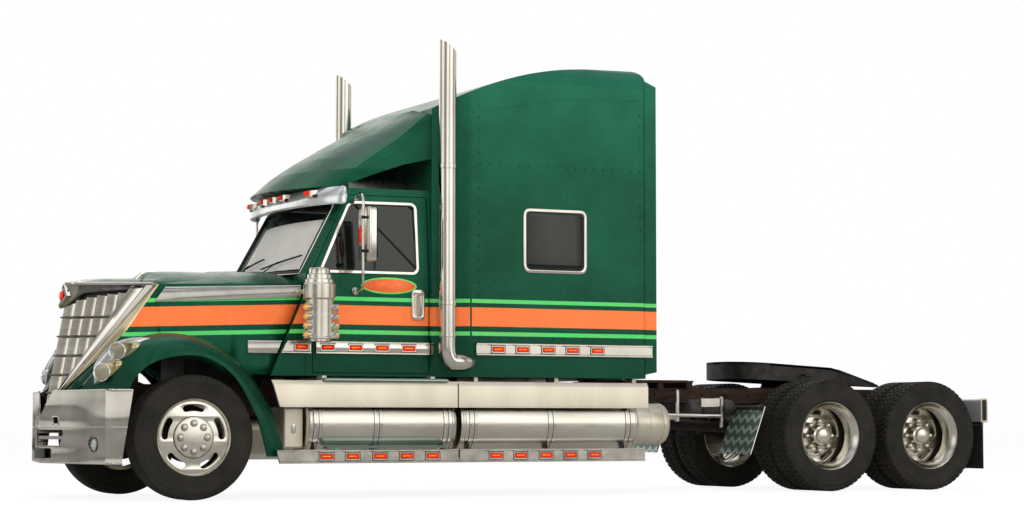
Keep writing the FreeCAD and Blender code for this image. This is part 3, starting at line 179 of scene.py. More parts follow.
def glass(name, tint, alpha):
    t = Tree(name)
    tint = srgb(tint)
    t.set(Base_Color=t.ramp(t.noise(1.5), [(0.3, tint), (0.7, tuple(c * 1.3 for c in tint))]),
          Metallic=0.0, Roughness=0.04, Alpha=alpha, IOR=1.45, Specular_IOR_Level=0.7)
    return t.owner


def tread_plate(name):
    """Dark plate with raised chevron bars."""
    t = Tree(name)
    _, y, z = t.split(t.coords)
    across = t.math("PINGPONG", t.math("MULTIPLY", y, 8.0), 0.5)
    bars = t.math("GREATER_THAN", t.math("FRACT", t.math("MULTIPLY_ADD", z, 9.5, across)), 0.62)
    t.set(Base_Color=t.mix(bars, srgb("64786F"), srgb("B4C6BD")), Metallic=0.7, Roughness=0.42)
    t.bump(bars, 0.9, 0.004)
    return t.owner


# name, light and dark tone, metallic, roughness and its range, scale of the noise
M = {
    "paint": paint("green_paint", False),
    "striped": paint("striped_paint", True),
    "chrome": plain("bright_chrome", "F2EFE7", "D2CEC5", 1.0, 0.13, 0.08, 1.6,
                    bump=0.12, bump_scale=3.0, depth=0.01),
    "aluminium": plain("polished_aluminium", "F7F4EA", "D6D0C2", 1.0, 0.22, 0.1, 2.2,
                       (0.5, 0.5, 2.5), bump=0.1, bump_scale=4.0, depth=0.008),
    "skirt": plain("brushed_skirt", "EBE3D2", "CDC4B1", 0.75, 0.34, 0.1, 3.0, (1.0, 1.0, 0.25),
                   bump=0.05, bump_scale=300.0, bump_stretch=(1, 1, 0.08)),
    "chassis": plain("chassis_paint", "2E211C", "0F0C0B", 0.2, 0.6, 0.3, 9.0, bump=0.3, bump_scale=120.0),
    "rust": plain("rusty_frame", "40281C", "120D0B", 0.15, 0.7, 0.3, 6.0, (1.0, 1.0, 4.0),
                  bump=0.4, bump_scale=90.0),
    "cast": plain("fifth_wheel_casting", "3A3634", "151413", 0.3, 0.5, 0.25, 12.0,
                  bump=0.35, bump_scale=70.0),
    "engine": plain("engine_grey", "4A4744", "1E1D1C", 0.3, 0.6, 0.2, 8.0, bump=0.3, bump_scale=60.0),
    "tyre": plain("tyre_rubber", "2B2822", "15140F", 0.0, 0.74, 0.16, 5.0,
                  bump=0.25, bump_scale=260.0, specular=0.35),
    "flap": plain("flap_rubber", "232724", "101210", 0.0, 0.7, 0.2, 6.0, bump=0.3, bump_scale=150.0),
    "trim": plain("interior_trim", "6B5A4C", "3E332B", 0.0, 0.75, 0.2, 10.0, bump=0.2, bump_scale=220.0),
    "black": plain("black_trim", "1B1B1C", "0C0C0D", 0.0, 0.45, 0.2, 12.0, bump=0.1),
    "amber": plain("amber_lens", "FF3C0C", "D01404", 0.0, 0.25, 0.05, 40.0, specular=0.12),
    "tread_plate": tread_plate("chevron_plate"),
    "wavy": plain("wavy_chrome", "EFECE4", "BDB9B1", 1.0, 0.14, 0.08, 1.2,
                  bump=1.0, bump_scale=1.5, bump_stretch=(0.4, 0.4, 3.2), depth=0.05),
    "visor": plain("visor_steel", "E9ECEC", "C6CBCD", 0.72, 0.2, 0.1, 1.4,
                   bump=0.2, bump_scale=3.0, depth=0.012),
    "silver": plain("smooth_silver", "F3F4F2", "C9CCCC", 0.9, 0.14, 0.06, 2.0),
    "warm": plain("warm_bright", "E9DCAE", "A69A72", 1.0, 0.2),
    "bar": plain("grille_bars", "7C7770", "45403C", 1.0, 0.3, 0.1, 9.0),
    # darker copy of the bright chrome: painted shade on the crown, the wheel covers, the nut feet and the
    # lamp rings
    "dark_chrome": plain("chrome_with_painted_shade", "8D8A84", "5B5852", 1.0, 0.25, 0.1, 9.0),
    "shade": plain("folding_shade", "F4F2EC", "E4E1DA", 0.0, 0.7, 0.1, 4.0, bump=0.1, bump_scale=120.0),
    "clear": glass("clear_cover", "DDE6E2", 0.1),
    # pale yellow-orange: a painted highlight on the marker lenses, and the lens colour of the air
    # cleaners' lamps
    "streak": plain("lens_streak", "FFC23E", "F08A12", 0.0, 0.2, 0.05, 50.0, coat=0.6),
    "sign_green": plain("sign_border", "5CE86B", "45C757", 0.0, 0.35, 0.1, 30.0),
    "sign_orange": plain("sign_field", "EE7437", "D4571E", 0.0, 0.35, 0.1, 12.0),
    "glass": glass("tinted_glass", "0C100C", 0.94),
    "windshield": glass("clear_glass", "2A302C", 0.1),
}

NODE_MATERIALS = {
    "paint": "roof_fairing fenders",
    "striped": "cab_shell door_left door_right sleeper_shell hood_shell",
    "wavy": "bumper",
    "chrome": "door_fittings_left door_fittings_right sun_visor headlights hood_brightwork grille "
              "exhaust side_rails light_bar",
    "aluminium": "air_cleaners fuel_tanks air_tanks",
    "skirt": "side_skirts",
    "chassis": "front_axle drive_axles knuckle_left knuckle_right tie_rod fifth_wheel_mount",
    "rust": "frame",
    "cast": "fifth_wheel_plate",
    "engine": "engine",
    "flap": "mud_flaps",
    "trim": "cab_interior",
    "black": "steering_wheel",
    "amber": "marker_lamps",
    "tread_plate": "quarter_fenders",
    "glass": "door_glass_left door_glass_right",
    "windshield": "fixed_glass",
}


def smooth(mesh, angle):
    """Smooth shading that keeps the edges sharper than an angle."""
    mesh.polygons.foreach_set("use_smooth", [True] * len(mesh.polygons))
    mesh.set_sharp_from_angle(angle=math.radians(angle))


def dress(node, material):
    node.data.materials.clear()
    node.data.materials.append(material)
    smooth(node.data, 28)


for key, names in NODE_MATERIALS.items():
    for name in names.split():
        dress(NODES[name], M[key])
for name, node in NODES.items():
    if name.startswith("tyre_"):
        dress(node, M["tyre"])
    elif name.startswith("rim_"):
        dress(node, M["aluminium"])


# ------------------------------------------------------------------ mesh helpers
# Shapes are laid out in millimetres from the front axle: X forward, Y to the left, Z up.
# What both sides have is laid out on the left and mirrored.
AXES = {"x": lambda a, b, h: (h, a, b), "y": lambda a, b, h: (a, h, b), "z": lambda a, b, h: (a, b, h)}
UP = Vector((0, 0, 1))
SIDES = ((1, "left"), (-1, "right"))
SLOT_LOOKS = {"green_paint": "paint striped sign_green sign_orange",
              "chrome": "chrome warm silver visor bar dark_chrome",
              "polished_aluminium": "aluminium skirt", "chassis_black": "chassis rust",
              "fifth_wheel_black": "cast", "engine_grey": "engine", "tyre_rubber": "tyre",
              "flap_rubber": "flap", "tread_plate": "tread_plate",
              "tinted_glass": "glass windshield clear", "interior_trim": "trim shade",
              "interior_dark": "black", "amber_lens": "amber streak"}
SLOTS = {look: slot for slot, looks in SLOT_LOOKS.items() for look in looks.split()}


def circle(radius, steps=24):
    turns = [math.tau * i / steps for i in range(steps)]
    return [(radius * math.cos(t), radius * math.sin(t)) for t in turns]


def rounded(points, radius, steps=4, closed=True):
    """The points with each corner replaced by a curve; works in a plane and in space."""
    points = [Vector(p) for p in points]
    result = []
    for i, corner in enumerate(points):
        if not closed and i in (0, len(points) - 1):
            result.append(corner)
            continue
        before, after = points[i - 1] - corner, points[(i + 1) % len(points)] - corner
        start = corner + before.normalized() * min(radius, before.length * 0.49)
        end = corner + after.normalized() * min(radius, after.length * 0.49)
        for k in range(steps + 1):
            t = k / steps
            result.append(start * (1 - t) ** 2 + corner * 2 * t * (1 - t) + end * t * t)
    return result


def rectangle(a0, a1, b0, b1, radius=0.0):
    corners = [(a0, b0), (a1, b0), (a1, b1), (a0, b1)]
    return rounded(corners, radius) if radius else corners


def grown(corners, by, radius):
    """A rounded rectangle from (a0, a1, b0, b1), larger by a distance all round."""
    a0, a1, b0, b1 = corners
    return rectangle(a0 - by, a1 + by, b0 - by, b1 + by, radius)


def inset(outline, distance):
    """A flat outline moved inwards by a distance."""
    points = [Vector(p) for p in outline]
    area = sum(p.x * q.y - q.x * p.y for p, q in zip(points, points[1:] + points[:1]))
    distance = math.copysign(distance, area)
    result = []
    for i, p in enumerate(points):
        along = (points[(i + 1) % len(points)] - points[i - 1]).normalized()
        result.append(p + Vector((-along.y, along.x)) * distance)
    return result


def blend(a, b, t):
    return tuple(p + (q - p) * t for p, q in zip(a, b))


def fine_line(points, pitch):
    """The points with more between them, about a pitch apart."""
    result = [points[0]]
    for a, b in zip(points, points[1:]):
        steps = max(1, round(math.dist(a, b) / pitch))
        result += [blend(a, b, (k + 1) / steps) for k in range(steps)]
    return result


def flow(rows, t):
    """A smooth curve through rows of numbers, t running from 0 to 1."""
    at = t * (len(rows) - 1)
    i = min(int(at), len(rows) - 2)
    f = at - i
    p0, p1, p2, p3 = (rows[max(0, min(len(rows) - 1, i + k))] for k in (-1, 0, 1, 2))
    return [0.5 * (2 * b + (c - a) * f + (2 * a - 5 * b + 4 * c - d) * f * f
                   + (3 * b - a - 3 * c + d) * f ** 3) for a, b, c, d in zip(p0, p1, p2, p3)]


class Shape:
    """Collects the faces of one piece and makes its object."""

    def __init__(self, look="chrome"):
        self.bm = bmesh.new()
        self.looks = []
        self.use(look)

    def use(self, look):
        if look not in self.looks:
            self.looks.append(look)
        self.index = self.looks.index(look)
        return self

    def face(self, verts):
        self.bm.faces.new(verts).material_index = self.index

    def loft(self, rings, loop=False):
        """Rings joined in turn, with flat ends or, in a loop, back to the first."""
        made = [[self.bm.verts.new(tuple(p)) for p in ring] for ring in rings]
        for a, b in zip(made, made[1:] + made[:loop]):
            for i in range(len(a)):
                j = (i + 1) % len(a)
                self.face((a[i], a[j], b[j], b[i]))
        if not loop:
            self.face(made[0])
            self.face(made[-1])

    def prism(self, outline, axis, low, high, soft=2.0):
        """An outline drawn out along an axis, with eased edges."""
        small = inset(outline, soft)
        levels = ((small, low), (outline, low + soft), (outline, high - soft), (small, high))
        self.loft([[AXES[axis](a, b, h) for a, b in ring] for ring, h in levels])

    def block(self, x0, x1, y0, y1, z0, z1, soft=3.0):
        self.prism(rectangle(x0, x1, z0, z1, soft * 2), "y", y0, y1, soft)

    def lathe(self, profile, centre, axis="y", steps=32, flip=1, loop=False):
        """(radius, height) pairs turned about an axis through the centre."""
        origin = Vector(centre)
        self.loft([[origin + Vector(AXES[axis](a, b, h * flip)) for a, b in circle(r, steps)]
                   for r, h in profile], loop)

    def band(self, inner, outer, at, half, ease, centre, axis="x", steps=72):
        """A strap round an axis, its outer edges eased."""
        self.lathe([(inner, at - half), (outer, at - half + ease), (outer, at + half - ease),
                    (inner, at + half)], centre, axis, steps, loop=True)

    def barrel(self, start, along, profile, steps=20):
        """(radius, distance) pairs turned about a free axis."""
        normal = along.orthogonal().normalized()
        other = along.cross(normal)
        self.loft([[start + along * h + normal * a + other * b for a, b in circle(r, steps)]
                   for r, h in profile])

    def tube(self, path, radius, bend=60.0, steps=12):
        """A round bar along a path whose corners are bent."""
        points = rounded(path, bend, 6, False)
        normal, rings = None, []
        for i, p in enumerate(points):
            along = (points[min(i + 1, len(points) - 1)] - points[max(i - 1, 0)]).normalized()
            normal = normal or along.orthogonal()
            normal = (normal - along * normal.dot(along)).normalized()
            other = along.cross(normal)
            rings.append([p + normal * a + other * b for a, b in circle(radius, steps)])
        self.loft(rings)

    def strip(self, path, width, height, closed=False, sink=2.0):
        """A flat-topped bead along (point, normal) pairs on a surface."""
        rings, count = [], len(path)
        for i, (p, n) in enumerate(path):
            before = path[i - 1][0] if closed or i else p
            after = path[(i + 1) % count][0] if closed or i < count - 1 else p
            side = (after - before).cross(n).normalized() * (width / 2)
            rings.append([p + side * a + n * h for a, h in
                          ((-1, -sink), (-1, height * 0.5), (-0.7, height), (0.7, height),
                           (1, height * 0.5), (1, -sink))])
        self.loft(rings, closed)

    def plate(self, outlines, axis, low, high, soft=1.5, put=None):
        """Flat plate with eased edges: the first outline is its edge and the rest are holes."""
        curve = bpy.data.curves.new("plate", "CURVE")
        curve.dimensions, curve.fill_mode = "2D", "BOTH"
        curve.extrude, curve.bevel_depth = (high - low) / 2 - soft, soft
        curve.bevel_resolution, curve.offset = 1, -soft
        for outline in outlines:
            spline = curve.splines.new("POLY")
            spline.points.add(len(outline) - 1)
            for point, (a, b) in zip(spline.points, outline):
                point.co = (a, b, 0, 1)
            spline.use_cyclic_u = True
        holder = bpy.data.objects.new("plate", curve)
        mesh = bpy.data.meshes.new_from_object(holder)
        put, middle = put or AXES[axis], (low + high) / 2
        verts = [self.bm.verts.new(put(v.co.x, v.co.y, v.co.z + middle)) for v in mesh.vertices]
        for polygon in mesh.polygons:
            self.face([verts[i] for i in polygon.vertices])
        bpy.data.objects.remove(holder)
        bpy.data.meshes.remove(mesh)
        bpy.data.curves.remove(curve)

    def both_sides(self):
        """Adds the mirrored copy of all faces so far."""
        bm = self.bm
        copied = bmesh.ops.duplicate(bm, geom=bm.verts[:] + bm.edges[:] + bm.faces[:])["geom"]
        for part in copied:
            if isinstance(part, bmesh.types.BMVert):
                part.co.y = -part.co.y
        return self

    def finish(self, name, body="chassis", replaces=(), angle=32.0, side=1):
        bm = self.bm
        for vert in bm.verts:
            vert.co.y *= side
        bmesh.ops.remove_doubles(bm, verts=bm.verts, dist=0.02)
        bmesh.ops.dissolve_degenerate(bm, dist=0.01, edges=bm.edges)
        bmesh.ops.recalc_face_normals(bm, faces=bm.faces)
        for vert in bm.verts:
            vert.co = vert.co / 1000 + Vector((AXLE, 0, 0))
        mesh = bpy.data.meshes.new(name)
        bm.to_mesh(mesh)
        bm.free()
        for look in self.looks:
            mesh.materials.append(M[look])
        smooth(mesh, angle)
        made = bpy.data.objects.new(name, mesh)
        bpy.context.collection.objects.link(made)
        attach(made, body)
        if replaces:
            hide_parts(*replaces)
        return made


class Skin:
    """Finds points on the frame's own surfaces, in millimetres from the front axle."""

    def __init__(self, name):
        mesh = NODES[name].data
        verts = [Vector((v.co.x - AXLE, v.co.y, v.co.z)) * 1000 for v in mesh.vertices]
        self.tree = BVHTree.FromPolygons(verts, [list(p.vertices) for p in mesh.polygons])

    def hit(self, origin, direction):
        place, normal, _, _ = self.tree.ray_cast(Vector(origin), Vector(direction))
        return (place, normal) if place else None

    def side(self, x, z):
        """The outermost point at x and z on the left."""
        return self.hit((x, 3000, z), (0, -1, 0))

    def front(self, y, z):
        return self.hit((3000, y, z), (-1, 0, 0))

    def top(self, x, y):
        return self.hit((x, y, 6000), (0, 0, -1))

    def path(self, points, pitch):
        """(point, normal) pairs along straight stretches between (x, z) points."""
        found = [self.side(*place) for place in fine_line(points, pitch)]
        return [pair for pair in found if pair]


# ------------------------------------------------------------------ wheels
TYRE_RADIUS, TYRE_HALF, SEAT_RADIUS, WHEEL_HEIGHT = 524, 141, 313, 526
FRONT_AXLE, DRIVE_AXLES = 0, (-6323, -7480)
FRONT_TRACK, OUTER_TRACK, INNER_TRACK = 1008, 1050, 720
HAND_HOLES, NUTS = 5, 8


def wheel_point(x, y):
    """Puts (radius, turn, height outboard) of a wheel at a place in space."""
    def put(radius, turn, out):
        return (x + radius * math.cos(turn), y + out, WHEEL_HEIGHT + radius * math.sin(turn))
    return put


def tread_block(shape, put, r0, r1, turn, width, out0, out1, slant=0.0):
    """One lug: it narrows a little towards its top."""
    middle = (out0 + out1) / 2
    rings = []
    for r, shrink in ((r0, 1.0), (r1 - 3, 0.94), (r1, 0.84)):
        ring = []
        for edge, out in ((-1, out0), (1, out0), (1, out1), (-1, out1)):
            ring.append(put(r, turn + edge * width / 2 * shrink + slant * (out - middle),
                            middle + (out - middle) * shrink))
        rings.append(ring)
    shape.loft(rings)


def tyre(shape, x, y, drive):
    put = wheel_point(x, y)
    floor, crest = TYRE_RADIUS - 11, TYRE_RADIUS + 1
    half = [(SEAT_RADIUS, 108), (SEAT_RADIUS + 12, 122), (338, 128), (344, 132), (350, 131),
            (392, 139), (430, TYRE_HALF), (452, 140), (456, 142), (464, 142), (468, 138),
            (494, 132), (floor - 2, 122), (floor, 116)]
    if drive:
        half += [(floor, 60), (floor, 0)]
    else:
        groove = TYRE_RADIUS - 12
        half += [(TYRE_RADIUS - 4, 113), (TYRE_RADIUS - 1, 104)]
        for at in (78, 34):
            half += [(TYRE_RADIUS, at + 6), (groove, at + 4), (groove, at - 4), (TYRE_RADIUS, at - 6)]
        half += [(TYRE_RADIUS, 0)]
    profile = half + [(r, -h) for r, h in reversed(half[:-1])] + [(SEAT_RADIUS, 0)]
    shape.lathe(profile, (x, y, WHEEL_HEIGHT), "y", 96, loop=True)
    count = 58 if drive else 66
    for i in range(count):
        turn = math.tau * i / count
        for flank in (-1, 1):
            if drive:
                tread_block(shape, put, floor - 3, crest, turn, 0.088, flank * 78, flank * 119)
                shift = 0.02 if flank > 0 else 0.0
                for row, (a, b) in enumerate(((6, 38), (42, 74))):
                    tread_block(shape, put, floor - 3, crest, turn + 0.03 * row + shift, 0.09,
                                flank * a, flank * b, 0.0009 * flank)
            # shoulder ribs
            tread_block(shape, put, 486, floor + 1, turn, 0.05, flank * 118, flank * 133)


def slot_outline(turn, r0, r1, half_angle, steps=10):
    """A bent hand hole with round ends."""
    middle, half = (r0 + r1) / 2, (r1 - r0) / 2
    points = []
    for radius, way in ((middle + half, 1), (middle - half, -1)):
        for k in range(steps + 1):
            t = turn + half_angle * way * (2 * k / steps - 1)
            points.append((radius * math.cos(t), radius * math.sin(t)))
        heart = turn + half_angle * way
        for k in range(1, 8):
            swing = heart + (0 if way > 0 else math.pi) + math.pi * k / 8
            points.append((middle * math.cos(heart) + half * math.cos(swing),
                           middle * math.sin(heart) + half * math.sin(swing)))
    return points


def wheel_nuts(shape, x, y, radius, tall, size):
    for a, b in circle(radius, NUTS):
        centre = (x + a, y, WHEEL_HEIGHT + b)
        # dark ring at each nut's foot: painted shade
        shape.use("dark_chrome").lathe([(size + 7, -4), (size + 7, 2), (size + 2, 4), (size - 2, 4)],
                                       centre, "y", 20)
        shape.use("aluminium").lathe([(size + 3, 0), (size + 3, 3), (size, 5), (size * 0.96, tall * 0.6),
                                      (size * 0.8, tall * 0.85), (size * 0.45, tall), (1, tall + 1)],
                                     centre, "y", 20)


def rim_barrel(shape, x, y):
    """Rim with its two flanges and drop centre, as a closed ring."""
    shape.lathe([(322, 124), (326, 120), (324, 114), (SEAT_RADIUS, 108), (SEAT_RADIUS - 2, 84),
                 (282, 62), (282, -40), (SEAT_RADIUS - 2, -84), (SEAT_RADIUS, -108), (324, -114),
                 (326, -120), (322, -124), (308, -112), (300, -86), (272, -44), (272, 60), (301, 88),
                 (309, 112)], (x, y, WHEEL_HEIGHT), "y", 72, loop=True)


def rim_disc(shape, x, y, low, high, r0, r1, half_angle, reach):
    put = wheel_point(x, y)
    holes = [slot_outline(math.pi / 2 + math.tau * i / HAND_HOLES, r0, r1, math.radians(half_angle))
             for i in range(HAND_HOLES)]
    shape.plate([circle(reach, 96)] + holes, "y", low, high, 4,
                lambda a, b, h: put(math.hypot(a, b), math.atan2(b, a), h))


def front_wheel(side, name):
    body = f"wheel_front_{name}"
    rubber = Shape("tyre")
    tyre(rubber, FRONT_AXLE, FRONT_TRACK, False)
    rubber.finish(f"steer_tyre_{name}", body, [f"tyre_front_{name}"], side=side)
    rim = Shape("aluminium")
    rim_barrel(rim, FRONT_AXLE, FRONT_TRACK)
    rim_disc(rim, FRONT_AXLE, FRONT_TRACK, 84, 104, 221, 275, 15.5, 302)
    centre = (FRONT_AXLE, FRONT_TRACK, WHEEL_HEIGHT)
    rim.lathe([(60, 60), (176, 98), (176, 110), (172, 115), (164, 116), (160, 112), (150, 113),
               (110, 117), (60, 120), (30, 121), (1, 121.5)], centre, "y", 56)
    rim.lathe([(150, -60), (150, 84), (60, 90)], centre, "y", 48)
    wheel_nuts(rim, FRONT_AXLE, FRONT_TRACK + 115, 116, 36, 26)
    # dark ring round the wheel cover: painted shade
    rim.use("dark_chrome").lathe([(162, 108), (172, 118), (178, 108), (170, 100)], centre, "y", 56,
                                 loop=True)
    rim.finish(f"steer_rim_{name}", body, [f"rim_front_{name}"], side=side)


def drive_wheel(number, x, side, name):
    body = f"wheel_drive_{number}_{name}"
    tyres = Shape("tyre")
    rim = Shape("aluminium")
    for track, low in ((OUTER_TRACK, -165), (INNER_TRACK, 147)):
        tyre(tyres, x, track, True)
        rim_barrel(rim, x, track)
        rim_disc(rim, x, track, low, low + 18, 206, 256, 14, 279)
    tyres.finish(f"drive_tyres_{number}_{name}", body, [f"tyre_drive_{number}_{name}"], side=side)
    centre = (x, OUTER_TRACK, WHEEL_HEIGHT)
    rim.lathe([(60, -180), (196, -150), (196, -140), (188, -136), (150, -134), (112, -128),
               (98, -60), (90, -34), (78, -28), (72, -24), (72, 2), (64, 12), (46, 18),
               (24, 21), (1, 22)], centre, "y", 56)
    rim.lathe([(200, -184), (200, -168), (60, -166)], centre, "y", 40)
    wheel_nuts(rim, x, OUTER_TRACK - 138, 140, 84, 29)
    rim.finish(f"drive_rim_{number}_{name}", body, [f"rim_drive_{number}_{name}"], side=side)


for side, name in SIDES:
    front_wheel(side, name)
    for number, axle in enumerate(DRIVE_AXLES, 1):
        drive_wheel(number, axle, side, name)


# ------------------------------------------------------------------ nose and hood
TIP, CORNER = (970, 0, 733), (180, 650, 1830)     # ends of the prow's raked edge
NOSE_TOP = 1853
PROW_LEAN = 0.1786
PROW_SWEEP = (TIP[0] - PROW_LEAN * (CORNER[2] - TIP[2]) - CORNER[0]) / CORNER[1]
BADGE_HEIGHT, CROWN_REACH = 1742, 562


def prow(y, z, out=0.0):
    """A point on the prow's face, or ahead of it."""
    return (TIP[0] - PROW_LEAN * (z - TIP[2]) - PROW_SWEEP * abs(y) + out, y, z)


def rake_x(z):
    return TIP[0] + (z - TIP[2]) * (CORNER[0] - TIP[0]) / (CORNER[2] - TIP[2])


def edge_y(z):
    return CORNER[1] * (z - TIP[2]) / (CORNER[2] - TIP[2])


def inner_edge_y(z):
    """Half width of the grille's opening."""
    return max(0.0, 0.75 * edge_y(z) - 8)


def nose_top(y):
    return NOSE_TOP - 20 * y / 650


def blade_foot(y):
    """Height where the surround's inner edge crosses half width y."""
    return TIP[2] + (max(0.0, y) + 8) / 0.75 / CORNER[1] * (CORNER[2] - TIP[2]) + 4


def blade_top(y):
    return 1652 + 84 * (1 - math.exp(-max(0.0, y) / 110)) + 0.075 * max(0.0, y)


def eased(t):
    return t * t * (3 - 2 * t)


def crown_foot(y):
    """Height of the crown's lower edge: it drops towards the badge."""
    return 1640 + 112 * eased(min(1.0, y / 140)) + 43 * y / CROWN_REACH


def surround(shape, skin, steps=16):
    """Bevelled bright frame along the raked edge, its warm flank, and the crown over the grille."""
    rings, crown, lip, flank = [], [], [], []
    for i in range(steps + 1):
        t = i / steps
        z = 790 + (CORNER[2] - 790) * t
        outer, inner = edge_y(z), inner_edge_y(z)
        wide = outer - inner
        rings.append([prow(y, z, out) for y, out in
                      ((outer, -60), (outer + 4, 0), (outer - 6, 16), (outer - wide * 0.3, 20),
                       (outer - wide * 0.42, 6), (outer - wide * 0.8, 2), (outer - wide * 0.9, 12),
                       (inner, 6), (inner, -70))])
        y = 640 * t ** 1.3
        low, high = crown_foot(min(y, CROWN_REACH)), nose_top(y)
        lip.append(Vector(prow(y, high - 2, 16)))
        crown.append([prow(y, z, out) for z, out in
                      ((low, -60), (low, 4), (low + 10, 14), (low + (high - low) * 0.45, 4),
                       (high - 16, 24), (high - 4, 22), (high + 6, 0), (high - 20, -60))])
        # between the frame and the hood's side
        z = 930 + (1822 - 930) * t
        found = skin.side(rake_x(z) - 24, z)
        x, y = rake_x(z), edge_y(z) - 3
        outer = min(found[0].y - 3 if found else y + 63, y + 17 + 330 * min(1.0, t / 0.42))
        flank.append([(x - 6, y, z), (x + 12, y, z), (x + 8, (y + outer) / 2, z), (x + 9, outer, z),
                      (x - 6, outer, z)])
    shape.loft(rings)
    # the crown in the darker chrome: painted shade below its bright lip
    shape.use("dark_chrome").loft(crown)
    shape.use("chrome").tube(lip, 13, 4, 12)
    shape.use("warm").loft(flank)
    shape.use("chrome")


def badge(shape):
    """Bare plate over the centre line, with a plain round reflector."""
    rings = []
    x = prow(34, BADGE_HEIGHT)[0]
    for grow, out in ((1.0, 0), (1.0, 34), (0.74, 46), (0.7, 40), (0.02, 40)):
        rings.append([prow(0, BADGE_HEIGHT + 104 * grow, out), (x + out, 52 * grow, BADGE_HEIGHT),
                      prow(0, BADGE_HEIGHT - 110 * grow, out), (x + out, -52 * grow, BADGE_HEIGHT)])
    shape.loft(rings)
    shape.use("amber").lathe([(38, 30), (38, 42), (34, 46), (18, 48), (1, 48.5)],
                             prow(0, BADGE_HEIGHT), "x")
    shape.use("chrome")


def ridge(skin, x, y):
    """Height of the painted panel behind the crown: it swells over the hood's front."""
    y = min(abs(y), 645)
    front = nose_top(y) + 2
    if x > 165:
        start = prow(y, front)[0]
        t = max(0.0, (start - x) / (start - 160))
        swell = 18 * math.sin(math.pi * t) * (1 - y / 700)
        return front + (ridge(skin, 160, y) - front) * t + swell
    found = skin.top(x, y) or skin.top(x, y * 0.97)
    t = max(0.0, min(1.0, (x + 520) / 560))
    return found[0].z + 3 + 38 * eased(t) * (1 - (y / 650) ** 2) - (1 - t) * 8


def nose_cap(skin):
    """Painted panel between the crown and the hood."""
    rings = []
    for i in range(13):
        y = 646 * i / 12
        start = prow(y, nose_top(y), -8)[0]
        line = [start + (160 - start) * k / 6 for k in range(7)] + [80, -20, -140, -270, -400, -520]
        over = [(x, y, ridge(skin, x, y)) for x in line]
        rings.append(over + [(x, y, z - 26) for x, _, z in reversed(over)])
    cap = Shape("paint")
    cap.loft(rings)
    cap.both_sides().finish("nose_cap", "hood")


def spear(shape, skin):
    """Bright spine from the badge to the windshield, narrowing rearwards."""
    rings = []
    for i in range(33):
        t = i / 32
        x = 764 - 1724 * t
        half = 10 + 70 * max(0.0, 1 - t * 2.2) ** 1.6
        if x > -500:
            z, low = ridge(skin, x, 0), ridge(skin, x, half)
        elif skin.top(x, 0):
            z = skin.top(x, 0)[0].z
            low = z - 4
        else:
            break
        rings.append([(x, -half, low - 10), (x, -half * 0.9, low + 5), (x, 0, z + 11),
                      (x, half * 0.9, low + 5), (x, half, low - 10)])
    shape.loft(rings)


def level(value):
    return lambda z: value


def side_band(shape, skin, x0, x1, low, high, proud, steps=14):
    """Bright moulding with a lip along its top and bottom. x0 and x1 are functions of height,
    low and high of the way along."""
    section = ((0, -6), (0, proud), (0.09, proud + 3), (0.15, proud - 8), (0.3, proud - 4),
               (0.5, proud - 2), (0.7, proud - 4), (0.85, proud - 8), (0.91, proud + 3), (1, proud),
               (1, -6))
    rings, y = [], 0.0
    for i in range(steps + 1):
        t = i / steps
        ring = []
        for s, out in section:
            z = low(t) + (high(t) - low(t)) * s
            x = x0(z) + (x1(z) - x0(z)) * t
            found = skin.side(x, z)
            y = found[0].y if found else y
            ring.append((x, y + out, z))
        rings.append(ring)
    shape.loft(rings)


def grille():
    shape = Shape("aluminium")
    for index in range(6):
        y0 = 4 + index * 74
        rings = []
        for i in range(9):
            ring = []
            # concave blade: its rear edge tucks behind the next blade
            for across, out in ((0, -16), (6, -2), (14, -8), (34, -22), (54, -27), (66, -24),
                                (66, -40), (24, -36), (0, -30)):
                low = blade_foot(y0 + across)
                high = max(blade_top(y0 + across) - 0.3 * across, low + 4)
                ring.append(prow(y0 + across, low + (high - low) * i / 8, out))
            rings.append(ring)
        shape.loft(rings)
    shape.both_sides().use("bar")
    for z in (905, 1060, 1225, 1390, 1555):
        rings = []
        for k in range(-7, 8):
            y, size = inner_edge_y(z) * k / 7, 1.0 if k else 0.75
            x = prow(y, z)[0]
            rings.append([(x - 40, y, z - 6), (x + 4, y, z - 9 * size), (x + 14, y, z - 3),
                          (x + 12, y, z + 5 * size), (x + 2, y, z + 9 * size), (x - 40, y, z + 6)])
        shape.loft(rings)
    shape.finish("grille_blades", "hood", ["grille"], 40)


# head lamps: face centre, radius, and how far the barrel runs back and up
LAMPS = ((712, 846, 1064, 72, 190, 92), (597, 894, 1240, 72, 210, 52))
# spine of the teardrop under them: place, half width across, half depth
COVER = ((745, 752, 972, 6, 4), (706, 815, 1052, 92, 62), (640, 852, 1150, 104, 66),
         (570, 885, 1240, 92, 60), (465, 925, 1306, 56, 44), (340, 972, 1350, 5, 4))


def pod(shape, middle, along, tail, radius):
    """A tapering barrel from a slanting round mouth back to its tail."""
    rear = (middle - tail).normalized()
    rings = []
    for i in range(17):
        t = i / 16
        axis = along.lerp(rear, t ** 0.8).normalized()
        up = (UP - axis * axis.z).normalized()
        over = axis.cross(up)
        size = radius * (1 - 0.12 * t - 0.62 * t ** 3)
        rings.append([middle.lerp(tail, t) + up * a + over * b for a, b in circle(size, 36)])
    shape.loft(rings)


